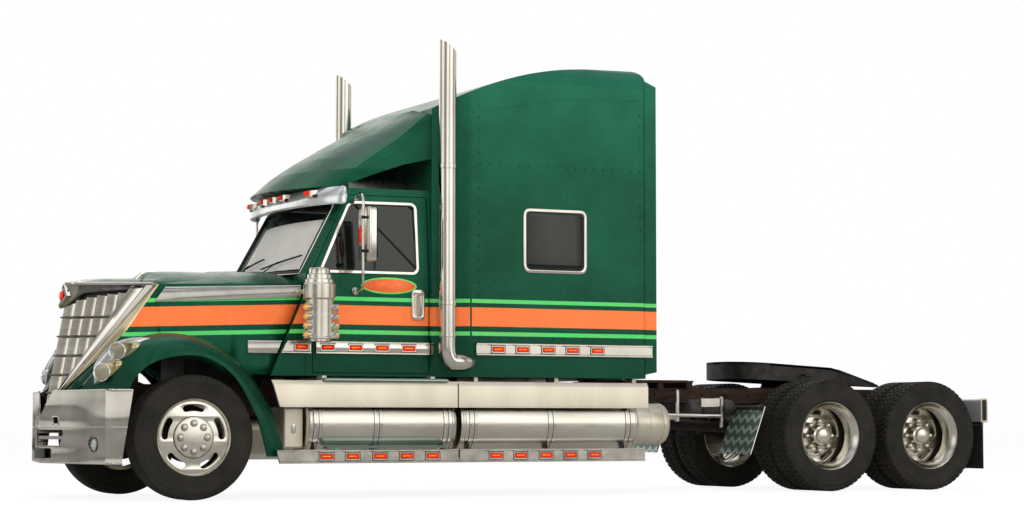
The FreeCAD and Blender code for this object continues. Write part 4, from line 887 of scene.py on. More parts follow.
def headlights():
    """Two round lamps, each on a tapering barrel, over one long bright teardrop."""
    shape = Shape("silver")
    rings = []
    for i in range(41):
        x, y, z, half, deep = flow(COVER, i / 40)
        ahead, behind = (Vector(flow(COVER, min(1, max(0, i / 40 + d)))[:3]) for d in (0.01, -0.01))
        along = (ahead - behind).normalized()
        over = Vector((0.45, 0.89, 0))
        over = (over - along * over.dot(along)).normalized()
        third = along.cross(over)
        middle = Vector((x, y, z)) - over * deep * 0.5
        rings.append([middle + over * (deep * a * 0.7) + third * (half * b)
                      for a, b in circle(1.0, 40)])
    shape.loft(rings)
    along = Vector((0.66, 0.75, 0.06)).normalized()
    for x, y, z, r, back, up in LAMPS:
        middle = Vector((x, y, z))
        shape.use("warm")
        pod(shape, middle, along, middle + Vector((-back, back * 0.3, up)), r)
        # the darker chrome inside each lamp is painted shade
        for look, steps, profile in (
                ("silver", 44, [(r - 8, -30), (r + 2, -22), (r + 5, -4), (r + 5, 4), (r, 9), (r - 7, 6),
                                (r - 10, -4), (r * 0.6, -17), (14, -21), (1, -22)]),
                ("dark_chrome", 32, [(r * 0.52, -18), (r * 0.52, -10), (r * 0.44, -6), (r * 0.3, -12),
                                     (1, -14)]),
                ("clear", 40, [(r - 9, -4), (r - 8, 4), (r * 0.8, 12), (r * 0.5, 19), (r * 0.2, 22),
                               (1, 23)])):
            shape.use(look).barrel(middle, along, profile, steps)
    shape.both_sides().finish("head_lamps", "hood", ["headlights"])


# Fender stations from the bumper over the wheel to the foot: crest x and z, arch x and z,
# inner and outer half width, and how far the section bulges between them
FENDER = ((818, 928, 560, 928, 556, 1128, 0.08), (716, 1075, 520, 1010, 628, 1142, 0.18),
          (600, 1235, 428, 1108, 715, 1155, 0.38), (430, 1350, 290, 1174, 805, 1164, 0.8),
          (190, 1400, 95, 1208, 870, 1166, 1), (-60, 1374, -90, 1192, 900, 1166, 1),
          (-280, 1284, -272, 1096, 930, 1166, 1), (-480, 1125, -396, 960, 965, 1166, 1),
          (-640, 900, -486, 800, 1010, 1166, 1), (-733, 705, -552, 675, 1050, 1166, 1),
          (-793, 483, -611, 480, 1094, 1164, 1), (-812, 362, -640, 362, 1096, 1158, 1))


def fenders(around=14, along=64):
    """Outer surface from the crest to the arch's edge, with an inner one under it."""
    rings = []
    for i in range(along + 1):
        cx, cz, ax, az, inner, reach, bulge = flow(FENDER, i / along)
        heart, outer = Vector((ax, inner, az)), []
        for k in range(around + 1):
            s = k / around
            across = s + (1 - math.cos(s * math.pi / 2) - s) * bulge
            out = s + (math.sin(s * math.pi / 2) - s) * bulge
            outer.append(Vector((cx + (ax - cx) * across, inner + (reach - inner) * out,
                                 cz + (az - cz) * across)))
        under = [p + (heart - p).normalized() * min(16, (heart - p).length * 0.5)
                 for p in reversed(outer)]
        under[0] = outer[-1] + Vector((0, -26, 0))
        rings.append(outer + under)
    shape = Shape("paint")
    shape.loft(rings)
    shape.both_sides().finish("swept_fenders", "hood", ["fenders"], 50)


def hood_skin():
    """The hood's own surface with its lower front corners taken back behind the fenders."""
    made = bpy.data.objects.new("hood_skin", NODES["hood_shell"].data.copy())
    bpy.context.collection.objects.link(made)
    rings = []
    for z in (780, 1330):
        x, y = rake_x(z) - 10, 556 + (z - 930) * 0.42
        rings.append([(x, y, z), (x - 368, y + 810, z), (1500, y + 810, z), (1500, y, z)])
    cutter = Shape("paint")
    cutter.loft(rings)
    cutter = cutter.both_sides().finish("corner_cutter", "hood")
    modifier = made.modifiers.new("corner", "BOOLEAN")
    modifier.operation, modifier.solver, modifier.object = "DIFFERENCE", "EXACT", cutter
    bpy.context.view_layer.update()
    cut = bpy.data.meshes.new_from_object(made.evaluated_get(bpy.context.evaluated_depsgraph_get()))
    made.modifiers.clear()
    made.data = cut
    cut.materials.clear()
    cut.materials.append(M["striped"])
    bpy.data.objects.remove(cutter)
    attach(made, "hood")
    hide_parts("hood_shell")


def grille_shadow_screen():
    """Dark screen behind the blades: painted shadow in the recess between the crown and the blade tops.
    """
    rings = []
    for i in range(13):
        y = 500 * i / 12
        low = blade_foot(y) + 6
        high = max(low + 2, crown_foot(y) + 20)
        rings.append([prow(y, z, out) for z, out in ((low, -52), (high, -52), (high, -60), (low, -60))])
    screen = Shape("black")
    screen.loft(rings)
    screen.both_sides().finish("grille_shadow_screen", "hood")


def front_end():
    skin = Skin("hood_shell")
    bright = Shape("chrome")
    surround(bright, skin)
    side_band(bright, skin, lambda z: rake_x(z) - 70, level(-996),
              lambda t: 1672 + 56 * t, lambda t: 1800 + 30 * t, 14)
    side_band(bright, skin, level(-530), lambda z: -775 - (z - 1240) * 0.44,
              level(1242), level(1348), 28)
    bright.both_sides()
    badge(bright)
    spear(bright, skin)
    bright.finish("hood_bright_trim", "hood", ["hood_brightwork"], 24)
    nose_cap(skin)
    grille()
    headlights()
    fenders()
    hood_skin()


front_end()


# ------------------------------------------------------------------ cab sides
CAB_HALF, RAIL_LOW, RAIL_HIGH, RAIL_PROUD = 1045, 1240, 1350, 35
MARKER_HEIGHT, MARKER_OUT = 1296, CAB_HALF + RAIL_PROUD - 6
MIRROR_TUBE, MIRROR_FRONT = 1300, -1468
CLEANER = (-1050, 1290)


def rail(shape, x0, x1):
    """The doors' bright rail with rolled lips and a crowned face."""
    out = CAB_HALF + RAIL_PROUD
    middle, half = (RAIL_LOW + RAIL_HIGH) / 2, (RAIL_HIGH - RAIL_LOW) / 2 - 18
    crowned = [(out + 1 - 6 * (k / 3) ** 2, middle + half * k / 3) for k in range(-3, 4)]
    lip = [(CAB_HALF, 0), (out, 0), (out + 5, 3), (out + 5, 10), (out - 6, 14)]
    outline = [(y, RAIL_LOW + h) for y, h in lip] + crowned
    outline += [(y, RAIL_HIGH - h) for y, h in reversed(lip)]
    shape.prism(outline, "x", x0, x1, 1.0)


def marker(shape, x, y, z=MARKER_HEIGHT):
    """Marker lamp: bright bezel, dark seat and a domed red-orange lens with a pale streak, a painted
    highlight.
    """
    half, tall = 69, 32
    for look, grow, out0, out1, soft in (("black", 5, -6, 4, 1), ("chrome", 0, -4, 8, 3),
                                         ("black", -9, 0, 10, 1), ("amber", -12, 2, 16, 5)):
        shape.use(look).prism(grown((x - half, x + half, z - tall, z + tall), grow, 9), "y",
                              y + out0, y + out1, soft)
    # the pale streak across the lens is a painted highlight
    shape.use("streak").prism(rectangle(x - half * 0.5, x + half * 0.62, z - 4, z + 5, 6), "y",
                              y + 12, y + 17.2, 2)
    shape.use("chrome")


def window_frame(shape, skin, corners, width, height, radius, sink):
    found = [skin.side(x, z) for x, z in rounded(corners, radius, 6)]
    shape.strip([pair for pair in found if pair], width, height, True, sink)


def mirror_on(shape):
    """West-coast mirror on bent tubes, with its side lamp."""
    foot, bracket = (-1474, CAB_HALF - 3, 1788), (-1510, 1000, 2600)
    shape.tube([(-1474, 1060, 1790), (-1474, 1224, 1790), (-1446, MIRROR_TUBE, 1850),
                (-1446, MIRROR_TUBE, 2480), (-1446, MIRROR_TUBE, 2600), (-1480, 1130, 2640),
                bracket], 12, 90, 14)
    shape.lathe([(4, 0), (30, 2), (36, 12), (34, 30), (22, 44), (10, 52), (2, 54)], foot, "y", 24)
    shape.lathe([(4, -8), (22, -4), (24, 6), (14, 16), (2, 20)], bracket, "y", 18)
    shell, front = (1136, 1378, 2026, 2504), MIRROR_FRONT
    for look, grow, radius, rear, face, soft in (("chrome", -6, 34, -88, -4, 16),
                                                 ("aluminium", 0, 38, -30, 0, 8),
                                                 ("glass", -22, 26, -93, -86, 2)):
        shape.use(look).prism(grown(shell, grow, radius), "x", front + rear, front + face, soft)
    shape.use("black")
    for z in (2120, 2410):
        shape.lathe([(14, -14), (17, -10), (17, 10), (14, 14)], (-1446, MIRROR_TUBE, z), "z", 16)
        shape.block(front - 6, -1450, 1272, 1328, z - 9, z + 9)
    # oval lamp in a bright ring on the shell's front
    for look, rim in (("amber", ((0, 1.0), (12, 0.97), (20, 0.8), (24, 0.4), (25, 0.05))),
                      ("chrome", ((0, 1.06), (10, 1.22), (14, 1.16), (12, 1.0)))):
        rings = []
        for out, grow in rim:
            tall = 88 * min(grow, 1.0) + 34 * max(0.0, grow - 1)
            rings.append([(front + out, 1226 + 34 * grow * a, 2262 + tall * b)
                          for a, b in circle(1.0, 28)])
        shape.use(look).loft(rings)


def door_handle(shape):
    x, y, z = -2075, CAB_HALF, 1680
    outer = rectangle(x - 63, x + 63, z - 135, z + 135, 42)
    shape.use("chrome").plate([outer, rectangle(x - 38, x + 34, z - 100, z + 100, 30)], "y",
                              y - 2, y + 16, 6)
    shape.use("skirt").plate([inset(outer, 14)], "y", y - 4, y + 3, 2)
    shape.use("chrome").tube([(x - 12, y + 2, z - 92), (x - 12, y + 40, z - 88),
                              (x - 12, y + 42, z + 88), (x - 12, y + 2, z + 92)], 13, 34, 14)
    shape.lathe([(2, 16), (8, 15), (11, 10), (12, 0)], (x - 44, y, z - 118), "y", 16)


def door(side, name):
    body = f"door_{name}"
    fittings = Shape("chrome")
    mirror_on(fittings)
    door_handle(fittings)
    rail(fittings, -2179, -1109)
    for x in (-1215, -1476, -1725, -1977):
        marker(fittings, x, MARKER_OUT)
    fittings.finish(f"door_hardware_{name}", body, [f"door_fittings_{name}"], side=side)
    trim, skin = Shape("chrome"), Skin("door_left")
    window_frame(trim, skin, [(-1176, 1956), (-1470, 2572), (-2078, 2572), (-2078, 1956)],
                 30, 9, 55, 14)
    trim.use("black")
    window_frame(trim, skin, [(-1193, 1967), (-1480, 2560), (-2066, 2560), (-2066, 1967)],
                 14, 4, 42, 16)
    # quarter bar where the front pane meets the winding one
    trim.strip(Skin("door_glass_left").path([(-1684, 1975), (-1684, 2555)], 80), 22, 5, sink=3)
    trim.finish(f"door_window_frame_{name}", body, side=side)
    sign = Shape("sign_green")
    for look, a, b, low, high in (("sign_green", 266, 73, -1, 2.5), ("sign_orange", 250, 62, 1, 3.6)):
        outline = [(-1800 + a * p, 1842 + b * q) for p, q in circle(1.0, 64)]
        sign.use(look).plate([outline], "y", CAB_HALF + low, CAB_HALF + high, 0.6)
    sign.finish(f"blank_door_sign_{name}", body, side=side)


def air_cleaners():
    shape = Shape("aluminium")
    x, y = CLEANER
    shape.lathe([(60, 1330), (92, 1331), (100, 1336), (100, 1356), (132, 1358), (136, 1362),
                 (136, 1368), (132, 1372), (123, 1376), (123, 1688), (134, 1700), (137, 1704),
                 (137, 1822), (133, 1828), (126, 1832), (124, 1860), (119, 1865), (108, 1869),
                 (106, 1902), (101, 1907), (90, 1911), (88, 1948), (82, 1960), (72, 1966), (2, 1968)],
                (x, y, 0), "z", 64)
    for z in (1722, 1806):
        shape.band(134, 137.6, z, 9, 2, (x, y, 0), "z", 64)
    shape.use("chrome")
    for low, high in ((1725, 1790), (1385, 1425)):
        shape.block(-1060, -1022, 1030, 1230, low, high, 4)
    shape.block(-960, -905, 1215, 1262, 1738, 1776, 5)
    # lamps facing forward and outward
    for z in (1390, 1468, 1546, 1624):
        for angle in (24, 151):
            along = Vector((math.cos(math.radians(angle)), math.sin(math.radians(angle)), 0))
            middle = Vector((x, y, z)) + along * 112
            shape.use("chrome").barrel(middle, along, [(20, -8), (30, 0), (32, 6), (32, 40), (35, 42),
                                                       (35, 48), (31, 52), (23, 46)])
            shape.use("streak").barrel(middle, along, [(23, 40), (22, 50), (16, 56), (8, 58), (1, 59)])
    shape.both_sides().finish("air_cleaner_cans", "chassis", ["air_cleaners"])


VISOR_PLAN = ((0, -1150), (242, -1153), (480, -1172), (714, -1210), (880, -1258), (985, -1310),
              (1042, -1352), (1066, -1394))


def visor_spot(t, side=1):
    """Place and outward direction on the visor's curve, t from the middle (0) to an end (1)."""
    y, x = flow(VISOR_PLAN, t)
    ahead, behind = flow(VISOR_PLAN, min(1, t + 0.01)), flow(VISOR_PLAN, max(0, t - 0.01))
    along = Vector((ahead[1] - behind[1], ahead[0] - behind[0], 0)).normalized()
    return Vector((x, side * y, 0)), Vector((along.y, -side * along.x, 0))


def visor(steps=26):
    """Bright visor wrapped round to the doors, five lamps on wedge-shaped feet."""
    shape = Shape("visor")
    stations = []
    for i in range(-steps, steps + 1):
        t, side = abs(i) / steps, 1 if i >= 0 else -1
        place, out = visor_spot(t, side)
        ease = max(0.0, (t - 0.87) / 0.13)
        trim = 76 * (1 - math.sqrt(max(0.0, 1 - ease * ease)))
        low, high = 2541 + trim, 2696 + 10 * t * t - trim
        front = []
        for s in (0, 0.04, 0.1, 0.3, 0.55, 0.8, 0.95, 1.0):
            push = 34 - 72 * s + 30 * math.sin(math.pi * s) + (8 if s == 0.04 else 0)
            p = place + out * push * (1 - 0.75 * t ** 3)
            front.append((p.x, p.y, low + (high - low) * s))
        back = [(x - out.x * 14, y - out.y * 14, z) for x, y, z in reversed(front)]
        stations.append(front + back)
    shape.loft(stations)
    for t, side in ((0, 1), (1 / 7, 1), (1 / 7, -1), (3 / 7, 1), (3 / 7, -1)):
        place, out = visor_spot(t, side)
        across = Vector((-out.y, out.x, 0))
        for look, levels in (("chrome", ((-20, 62, 2608, 2680), (16, 58, 2612, 2678),
                                         (56, 40, 2628, 2674))),
                             ("amber", ((48, 37, 2630, 2672), (66, 36, 2633, 2672),
                                        (75, 27, 2638, 2668), (78, 12, 2645, 2662)))):
            shape.use(look).loft([[place + out * proud + across * a + UP * z
                                   for a, z in rectangle(-half, half, low, high)]
                                  for proud, half, low, high in levels])
    shape.use("black")
    for y, rear, front in ((800, -1460, -1190), (300, -1340, -1110)):
        for middle in (y, -y):
            shape.block(rear, front, middle - 15, middle + 15, 2612, 2640)
    shape.finish("visor_with_lamps", "chassis", ["sun_visor"])


for side, name in SIDES:
    door(side, name)
air_cleaners()
visor()


# ------------------------------------------------------------------ stacks, rails, tanks
STACK = (-2290, 1200)
STACK_RADIUS, STACK_TOP = 77.5, 4020
MUFFLER = (0, 760, 640)
TANK, TANK_RADIUS = (0, 875, 640), 300
FRAME_SIDE = 430


def capped(x0, x1, end, middle=()):
    """Profile of a tank from x0 to x1; end holds (radius, distance from the end) pairs."""
    return [(r, x0 + h) for r, h in end] + list(middle) + [(r, x1 - h) for r, h in reversed(end)]


def exhaust(steps=40):
    shape = Shape("chrome")
    x, y = STACK
    inside = STACK_RADIUS - 5

    def ring(radius, height, lean=0.0):
        """A ring round the stack; a lean makes it follow the slanted mouth."""
        return [(x + a, y + b, height + lean * a) for a, b in circle(radius, steps)]
    mouth = (STACK_TOP - 61, 60 / STACK_RADIUS)
    shape.loft([ring(STACK_RADIUS, 1400), ring(STACK_RADIUS, 2400), ring(STACK_RADIUS, 3400),
                ring(STACK_RADIUS, *mouth), ring(inside, *mouth), ring(inside, 3300)])
    shape.tube([(x, y, 1440), (x, y, 1180), (x - 158, y, 1180), (x - 300, y - 126, 1180)],
               STACK_RADIUS - 0.6, 150, steps)
    for z in (1420, 1700, 2900):
        shape.band(STACK_RADIUS - 1, STACK_RADIUS + 5, z, 24, 4, (x, y, 0), "z", steps)
    for z in (1720, 2920):
        shape.block(x - 20, x + 20, 1062, 1126, z - 18, z + 18)
    shape.use("skirt").lathe([(60, -4702), (150, -4700), (180, -4692), (190, -4670), (190, -4276),
                              (180, -4254), (150, -4247), (60, -4246)], MUFFLER, "x", 48)
    for at in (-4640, -4500, -4330):
        shape.band(189, 194, at, 14, 2, MUFFLER, "x", 48)
    shape.block(-4600, -4540, FRAME_SIDE, 720, 710, 760, 4)
    shape.both_sides().finish("stacks_and_mufflers", "chassis", ["exhaust"], 30)


def long_rail(shape, x0, x1, y, low, high, proud=RAIL_PROUD):
    """Rail whose ends may lean: x0 and x1 are functions of height."""
    out = y + proud
    section = [(y, low), (out, low), (out + 5, low + 4), (out + 5, low + 12), (out - 4, low + 20),
               (out - 4, high - 20), (out + 5, high - 12), (out + 5, high - 4), (out, high), (y, high)]
    shape.loft([[(x(b), a, b) for a, b in section] for x in (x0, x1)])


def rails():
    shape = Shape("chrome")
    markers = Shape("chrome")
    for x0, x1, y, proud in ((level(-1061), lambda z: -796 - (z - 1240) * 0.44, CAB_HALF - 5, 5),
                             (level(-2214), level(-2192), CAB_HALF, 0),
                             (level(-4340), level(-2560), 1198, 2)):
        long_rail(shape, x0, x1, y, RAIL_LOW, RAIL_HIGH, RAIL_PROUD + proud)
    for x0, x1 in ((-2395, lambda z: -736 + (z - 303) * 0.3), (-4270, level(-2410))):
        long_rail(shape, level(x0), x1, 1180, 303, 420)
    # lower step on its posts, with leaning ends
    shape.use("tread_plate").prism([(-2300, 428), (-1150, 428), (-1178, 453), (-2272, 453)], "y",
                                   1118, 1232)
    shape.use("chrome")
    for x in (-1250, -1720, -2200):
        shape.block(x - 15, x + 15, 1178, 1210, 408, 432, 2)
    marker(markers, -976, MARKER_OUT)
    for x in (-2773, -3015, -3271, -3517, -3769):
        marker(markers, x, 1229)
    for x in (-1156, -1396, -1651, -1901, -2148, -2763, -3005, -3259, -3506, -3750):
        marker(markers, x, 1209, 362)
    shape.both_sides().finish("bright_side_rails", "chassis", ["side_rails"])
    markers.both_sides().finish("side_marker_lamps", "chassis", ["marker_lamps"])


def tanks():
    shape = Shape("aluminium")
    y = TANK[1]
    for x0, x1, straps in ((-2405, -1015, (-1090, -1650, -2310)),
                           (-4246, -2440, (-2560, -3340, -4130))):
        profile = capped(x0, x1, ((180, 9), (272, 3), (290, 9), (299, 28), (TANK_RADIUS, 46)),
                         [(TANK_RADIUS, (x0 + x1) / 2)])
        shape.use("aluminium").lathe(profile, TANK, "x", 72)
        for at in (x0 + 48, x1 - 48):
            shape.lathe([(299.5, at - 4), (302.5, at), (299.5, at + 4), (296, at)], TANK, "x", 72,
                        loop=True)
        for strap in straps:
            for at in (strap - 24, strap + 24):
                shape.use("black").band(TANK_RADIUS - 2, TANK_RADIUS + 2.5, at, 17, 2, TANK)
                shape.use("chrome").band(TANK_RADIUS - 2, TANK_RADIUS + 6, at, 14, 2, TANK)
            shape.use("chassis").block(strap - 40, strap + 40, FRAME_SIDE, 695, 740, 900, 6)
            for low in (345, 800):
                shape.block(strap - 20, strap + 20, y, 1182, low, low + 40, 4)
        # filler neck and cap towards the front, above the strap
        shape.use("chrome").lathe([(46, 860), (46, 925), (58, 927), (60, 934), (60, 950), (54, 958),
                                   (20, 962), (2, 963)], (x1 - 260, y + 130, 0), "z", 28)
    shape.both_sides().finish("tanks_with_straps", "chassis", ["fuel_tanks"], 30)


def skirts():
    """Bright skirts with a leaning front end, beads and treads, and the toolbox with its handle."""
    shape = Shape("skirt")
    section = [(1180, 780), (1205, 780), (1208, 783), (1208, 790), (1205, 794), (1205, 968),
               (1203, 976), (1180, 1010)]
    for x0, x1 in ((level(-2390), lambda z: -738 + (z - 770) * 0.32), (level(-4310), level(-2402))):
        shape.loft([[(x(b), a, b) for a, b in section] for x in (x0, x1)])
    for x0, x1 in ((-2390, -1100), (-4310, -2520)):
        shape.block(x0, x1, 1060, 1181, 985, 1010, 2)
    for x in (-1160, -2180, -2600, -3400, -4200):
        shape.block(x - 20, x + 20, 1000, 1140, 985, 1052, 2)
    # folded seam where the cab's skirt meets the sleeper's
    shape.use("black").block(-2401, -2391, 1182, 1202, 782, 990, 1)
    shape.use("tread_plate").prism([(-2304, 1009), (-1126, 1009), (-1146, 1032), (-2284, 1032)],
                                   "y", 1058, 1214, 3)
    shape.use("skirt").block(-1008, -835, 620, 1030, 430, 780, 8)
    shape.block(-980, -860, FRAME_SIDE, 640, 720, 770, 4)
    shape.plate([rectangle(-1002, -841, 438, 772, 16), rectangle(-990, -853, 450, 760, 12)],
                "y", 1028, 1036, 2)
    shape.use("chrome").plate([rectangle(-940, -903, 560, 640, 12)], "y", 1030, 1040, 3)
    shape.both_sides().finish("bright_skirts", "chassis", ["side_skirts"])


exhaust()
rails()
tanks()
skirts()


# ------------------------------------------------------------------ sleeper and windshield
def sleeper_details():
    skin = Skin("sleeper_shell")
    rivets = Shape("paint")
    spots = [(-2615 - 95 * k, 2940) for k in range(18)]
    spots += [(x, 1780 + 105 * k) for x in (-2600, -4236) for k in range(17)]
    spots += [(-2600 - 105 * k, 1395) for k in range(16)]
    for x, z in spots:
        found = skin.side(x, z)
        if found:
            rivets.barrel(*found, [(9, -3), (9, 2), (7.2, 5), (3.15, 6.5)], 8)
    # panel joints: a corner bead and a roof bead
    for points in ([(-2520, 1090), (-2520, 3540)], [(-2540, 3400), (-3400, 3560), (-4290, 3600)]):
        rivets.strip(skin.path(points, 90), 16, 3, sink=3)
    rivets.both_sides().finish("sleeper_rivets")
    frames = Shape("chrome")
    pane = (-3655, -3055, 2005, 2540)
    frames.plate([grown(pane, 22, 70), grown(pane, -8, 52)], "y", 1190, 1212, 5)
    frames.use("black").plate([grown(pane, -2, 56), grown(pane, -22, 44)], "y", 1180, 1206, 3)
    frames.use("glass").plate([grown(pane, -12, 50)], "y", 1199, 1203, 1)
    frames.both_sides().finish("sleeper_window_frames")


def front_bead(shape, skin, half, narrow, low, high, width, height, sink):
    """A bead round the windshield's opening; narrow is the half width at the top."""
    corners = [(-half, low), (half, low), (narrow, high), (-narrow, high)]
    path = [skin.front(*blend(a, b, k / 8)) for a, b in zip(corners, corners[1:] + corners[:1])
            for k in range(8)]
    shape.strip([found for found in path if found], width, height, True, sink)


def wipers(shape, shell, panes):
    """Two wipers lying low on the glass."""
    for pivot, end in ((330, 760), (-330, 120)):
        place, normal = shell.front(pivot, 1948) or panes.front(pivot, 1990)
        start, blade = pivot - 150, []
        for k in range(9):
            found = panes.front(start + (end - start) * k / 8, 2005 + 95 * k / 8)
            if found:
                blade.append((found[0] + found[1] * 9, found[1]))
        shape.strip(blade, 10, 9, sink=5)
        middle = blade[len(blade) // 2][0]
        shape.tube([place + Vector((4, 0, -4)), place + Vector((30, 0, 14)),
                    middle + Vector((14, 0, 6)), middle], 5, 20, 8)
        shape.barrel(place - normal * 2, normal, [(20, 0), (20, 10), (15, 22), (6, 25)], 16)


def windshield():
    shell, panes = Skin("cab_shell"), Skin("fixed_glass")
    shape = Shape("black")
    front_bead(shape, shell, 858, 812, 1953, 2573, 26, 6, 16)
    shape.use("chrome")
    front_bead(shape, shell, 876, 830, 1936, 2590, 12, 7, 4)
    shape.use("black")
    wipers(shape, shell, panes)
    shape.finish("windshield_trim_and_wipers")
    # pale folding shade standing behind the glass
    rings = []
    for i in range(17):
        y, fold = -600 + 1390 * i / 16, 4 * (-1) ** i
        rings.append([(panes.front(y, z)[0].x - gap + fold, y, z) for z, gap in
                      ((1985, 34), (2170, 30), (2430, 34), (2430, 40), (2170, 36), (1985, 40))])
    shade = Shape("shade")
    shade.loft(rings)
    shade.finish("windshield_shade")


sleeper_details()
windshield()


# ------------------------------------------------------------------ bumper, frame and rear
BAR_REAR, LAMP_HEIGHT = -8156, 774
AIR_TANK = (0, 640, 790)
PIVOT_X = -6600
# the fifth wheel's top along X and Z: its front, the head of the ramps and their foot
FRONT_TOP, RAMP_TOP, RAMP_FOOT = (-5780, 1249), (-6810, 1193), (-7490, 1030)
RIM_FRONT, RIM_REAR = (-5780, 1078), (-7490, 1007)


def bumper_face(y, out=0.0):
    """X of the bumper's swept face at half width y."""
    return 1000 - 240 * min(1.0, y / 1120) + out


def bumper_details():
    shape = Shape("chrome")
    # fog lamp: a ring in the darker chrome as painted shade, bowl and lens facing forward
    along = Vector((1, 0.214, 0)).normalized()
    middle = Vector((bumper_face(935), 935, 466))
    for look, steps, profile in (
            ("dark_chrome", 36, [(60, -22), (64, -2), (62, 7), (56, 9), (51, 4), (40, -16), (12, -24)]),
            ("visor", 32, [(49, -4), (34, -12), (14, -15), (1, -15.5)]),
            ("clear", 32, [(51, 0), (46, 7), (30, 12), (12, 14), (1, 14.5)])):
        shape.use(look).barrel(middle, along, profile, steps)
    # square frame round the tow hole
    rings = []
    for grow, out in ((1.0, -6), (1.14, -2), (1.14, 5), (1.02, 6), (1.0, 2)):
        rings.append([(bumper_face(280 + a * grow, out), 280 + a * grow, 667 + b * grow)
                      for a, b in rectangle(-45, 45, -33, 33, 12)])
    shape.use("chrome").loft(rings, loop=True)
    # rolled lips along the top, the split and the foot
    for z, size, start, end in ((916, 9, 236, 552), (611, 5, 4, 590), (313, 9, 4, 634)):
        path = [(bumper_face(y, 0.5 - size), y, z) for y in (start, 1118)]
        shape.tube(path + [(724, 1160, z), (end, 1180, z)], size, 40, 10)
    shape.both_sides()
    # blank plate between the openings
    shape.use("black").plate([rectangle(-155, 155, 345, 435, 14)], "x", 992, 1000, 2)
    shape.finish("bumper_fittings")


def bolts(shape, points, axis, size=16, flip=1):
    """Hexagon heads on washers at the given places."""
    for place in points:
        shape.lathe([(size * 1.35, 0), (size * 1.35, 3), (size, 3.5), (size, 13), (size * 0.8, 16),
                     (1, 16.5)], place, axis, 6, flip)


def frame_details():
    shape = Shape("rust")
    bolts(shape, [(x, FRAME_SIDE, z) for x in range(-7950, -4700, 260) for z in (770, 920)], "y", 13)
    # brake and air pipes along the frame
    shape.use("black")
    for z, radius in ((850, 9), (826, 7), (805, 7)):
        shape.tube([(-4460, 448, z), (-5600, 450, z - 12), (-6900, 448, z + 8), (-7950, 448, z)],
                   radius, 300, 8)
    shape.both_sides().use("rust")
    # deck planks with gaps between them
    for index in range(6):
        x = -5192 + index * 124
        shape.block(x, x + 116, -428, 428, 1044, 1056)
    shape.finish("frame_hardware")


def light_bar():
    shape = Shape("visor")
    # rolled collars, and dark plates inside them: painted shade in the bar's open ends
    shape.use("skirt").plate([rounded(rectangle(-8166, -8084, 654, 891), 24),
                              rounded(rectangle(-8152, -8098, 672, 873), 16)], "y", 1164, 1188, 4)
    shape.plate([rectangle(-8150, -8096, 668, 878, 10)], "y", 1140, 1158, 2)
    # painted shade inside the open end
    shape.use("black").plate([rounded(rectangle(-8153, -8097, 671, 874), 16)], "y", 1168, 1180, 1)
    for y in (690, 850, 1010):
        place = (BAR_REAR, y, LAMP_HEIGHT)
        shape.use("chrome").lathe([(50, 6), (58, 4), (58, -4), (54, -9), (48, -8)], place, "x")
        shape.use("amber").lathe([(50, 2), (48, -7), (38, -11), (18, -13), (1, -13.5)], place, "x")
    # flap hangers and bolts
    shape.use("chrome").block(-8142, -8124, 596, 1154, 628, 662)
    bolts(shape, [(-8142, y, 645) for y in (640, 760, 880, 1000, 1110)], "x", 9, -1)
    # the bar itself is an open box section
    section = rectangle(-8154, -8092, 662, 885, 14)
    shape.both_sides().use("visor").loft([[(x, y, z) for x, z in section] for y in (-1176, 1176)])
    shape.finish("light_bar_and_lamps", "chassis", ["light_bar"])


def flaps_and_guards():
    flaps = Shape("flap")
    flaps.block(-8138, -8128, 600, 1150, 200, 655)
    for index in range(9):
        y = 632 + index * 61
        for x in (-8139, -8127):
            flaps.block(x - 2, x + 2, y - 12, y + 12, 225, 610, 1.5)
    flaps.both_sides().finish("ribbed_mud_flaps", "chassis", ["mud_flaps"])
    # leaning plate with rolled edges on its rod
    guards, rod = Shape("tread_plate"), (-5596, 0, 790)
    guards.prism([(-5445, 355), (-5434, 357), (-5596, 802), (-5608, 798)], "y", 600, 1150, 1.5)
    guards.use("chrome")
    for y in (602, 1148):
        guards.tube([(-5440, y, 356), (-5603, y, 799)], 7, 2, 10)
    guards.use("chassis").tube([(-5596, FRAME_SIDE + 1, 790), (-5596, 1140, 790)], 22, 2, 20)
    guards.use("black")
    for y in (660, 1090):
        guards.band(22, 30, y, 24, 4, rod, "y", 20)
    guards.both_sides().finish("chevron_quarter_fenders", "chassis", ["quarter_fenders"])


def air_tank_details():
    shape = Shape("aluminium")
    y = AIR_TANK[1]
    profile = capped(-5566, -5044, ((8, 0), (40, 3), (64, 14), (77, 38), (80, 56)))
    shape.use("engine").lathe(profile, AIR_TANK, "x", 40)
    for x in (-5500, -5110):
        shape.lathe([(79, x - 5), (83, x), (79, x + 5), (76, x)], AIR_TANK, "x", 40, loop=True)
    shape.use("chassis")
    for x in (-5420, -5190):
        shape.band(79, 84, x, 16, 2, AIR_TANK, "x", 40)
        shape.block(x - 14, x + 14, FRAME_SIDE, 580, 800, 850, 4)
    shape.use("chrome").block(-4965, -4925, y - 20, y + 20, 660, 960, 8)
    shape.tube([(-4945, y, 700), (-4702, y, 700)], 22, 2, 20)
    # bright stanchion and the rod that it carries
    shape.block(-5392, -5364, 716, 752, 604, 896, 7)
    shape.block(-5388, -5368, FRAME_SIDE, 720, 850, 884, 4)
    shape.tube([(-4700, 734, 724), (-5376, 734, 716)], 17, 2, 18)
    shape.block(-5360, -5150, 724, 744, 800, 880, 5)
    shape.block(-4962, -4928, FRAME_SIDE, 640, 882, 918, 4)
    shape.both_sides().finish("air_tanks_and_stanchions", "chassis", ["air_tanks"])


def line_height(a, b, x):
    """Height at x on the straight line through two (x, height) points."""
    return a[1] + (x - a[0]) * (b[1] - a[1]) / (b[0] - a[0])


def plate_height(x):
    """Height of the fifth wheel's top: a slight slope, then the ramps."""
    return line_height(FRONT_TOP if x > RAMP_TOP[0] else RAMP_FOOT, RAMP_TOP, x)


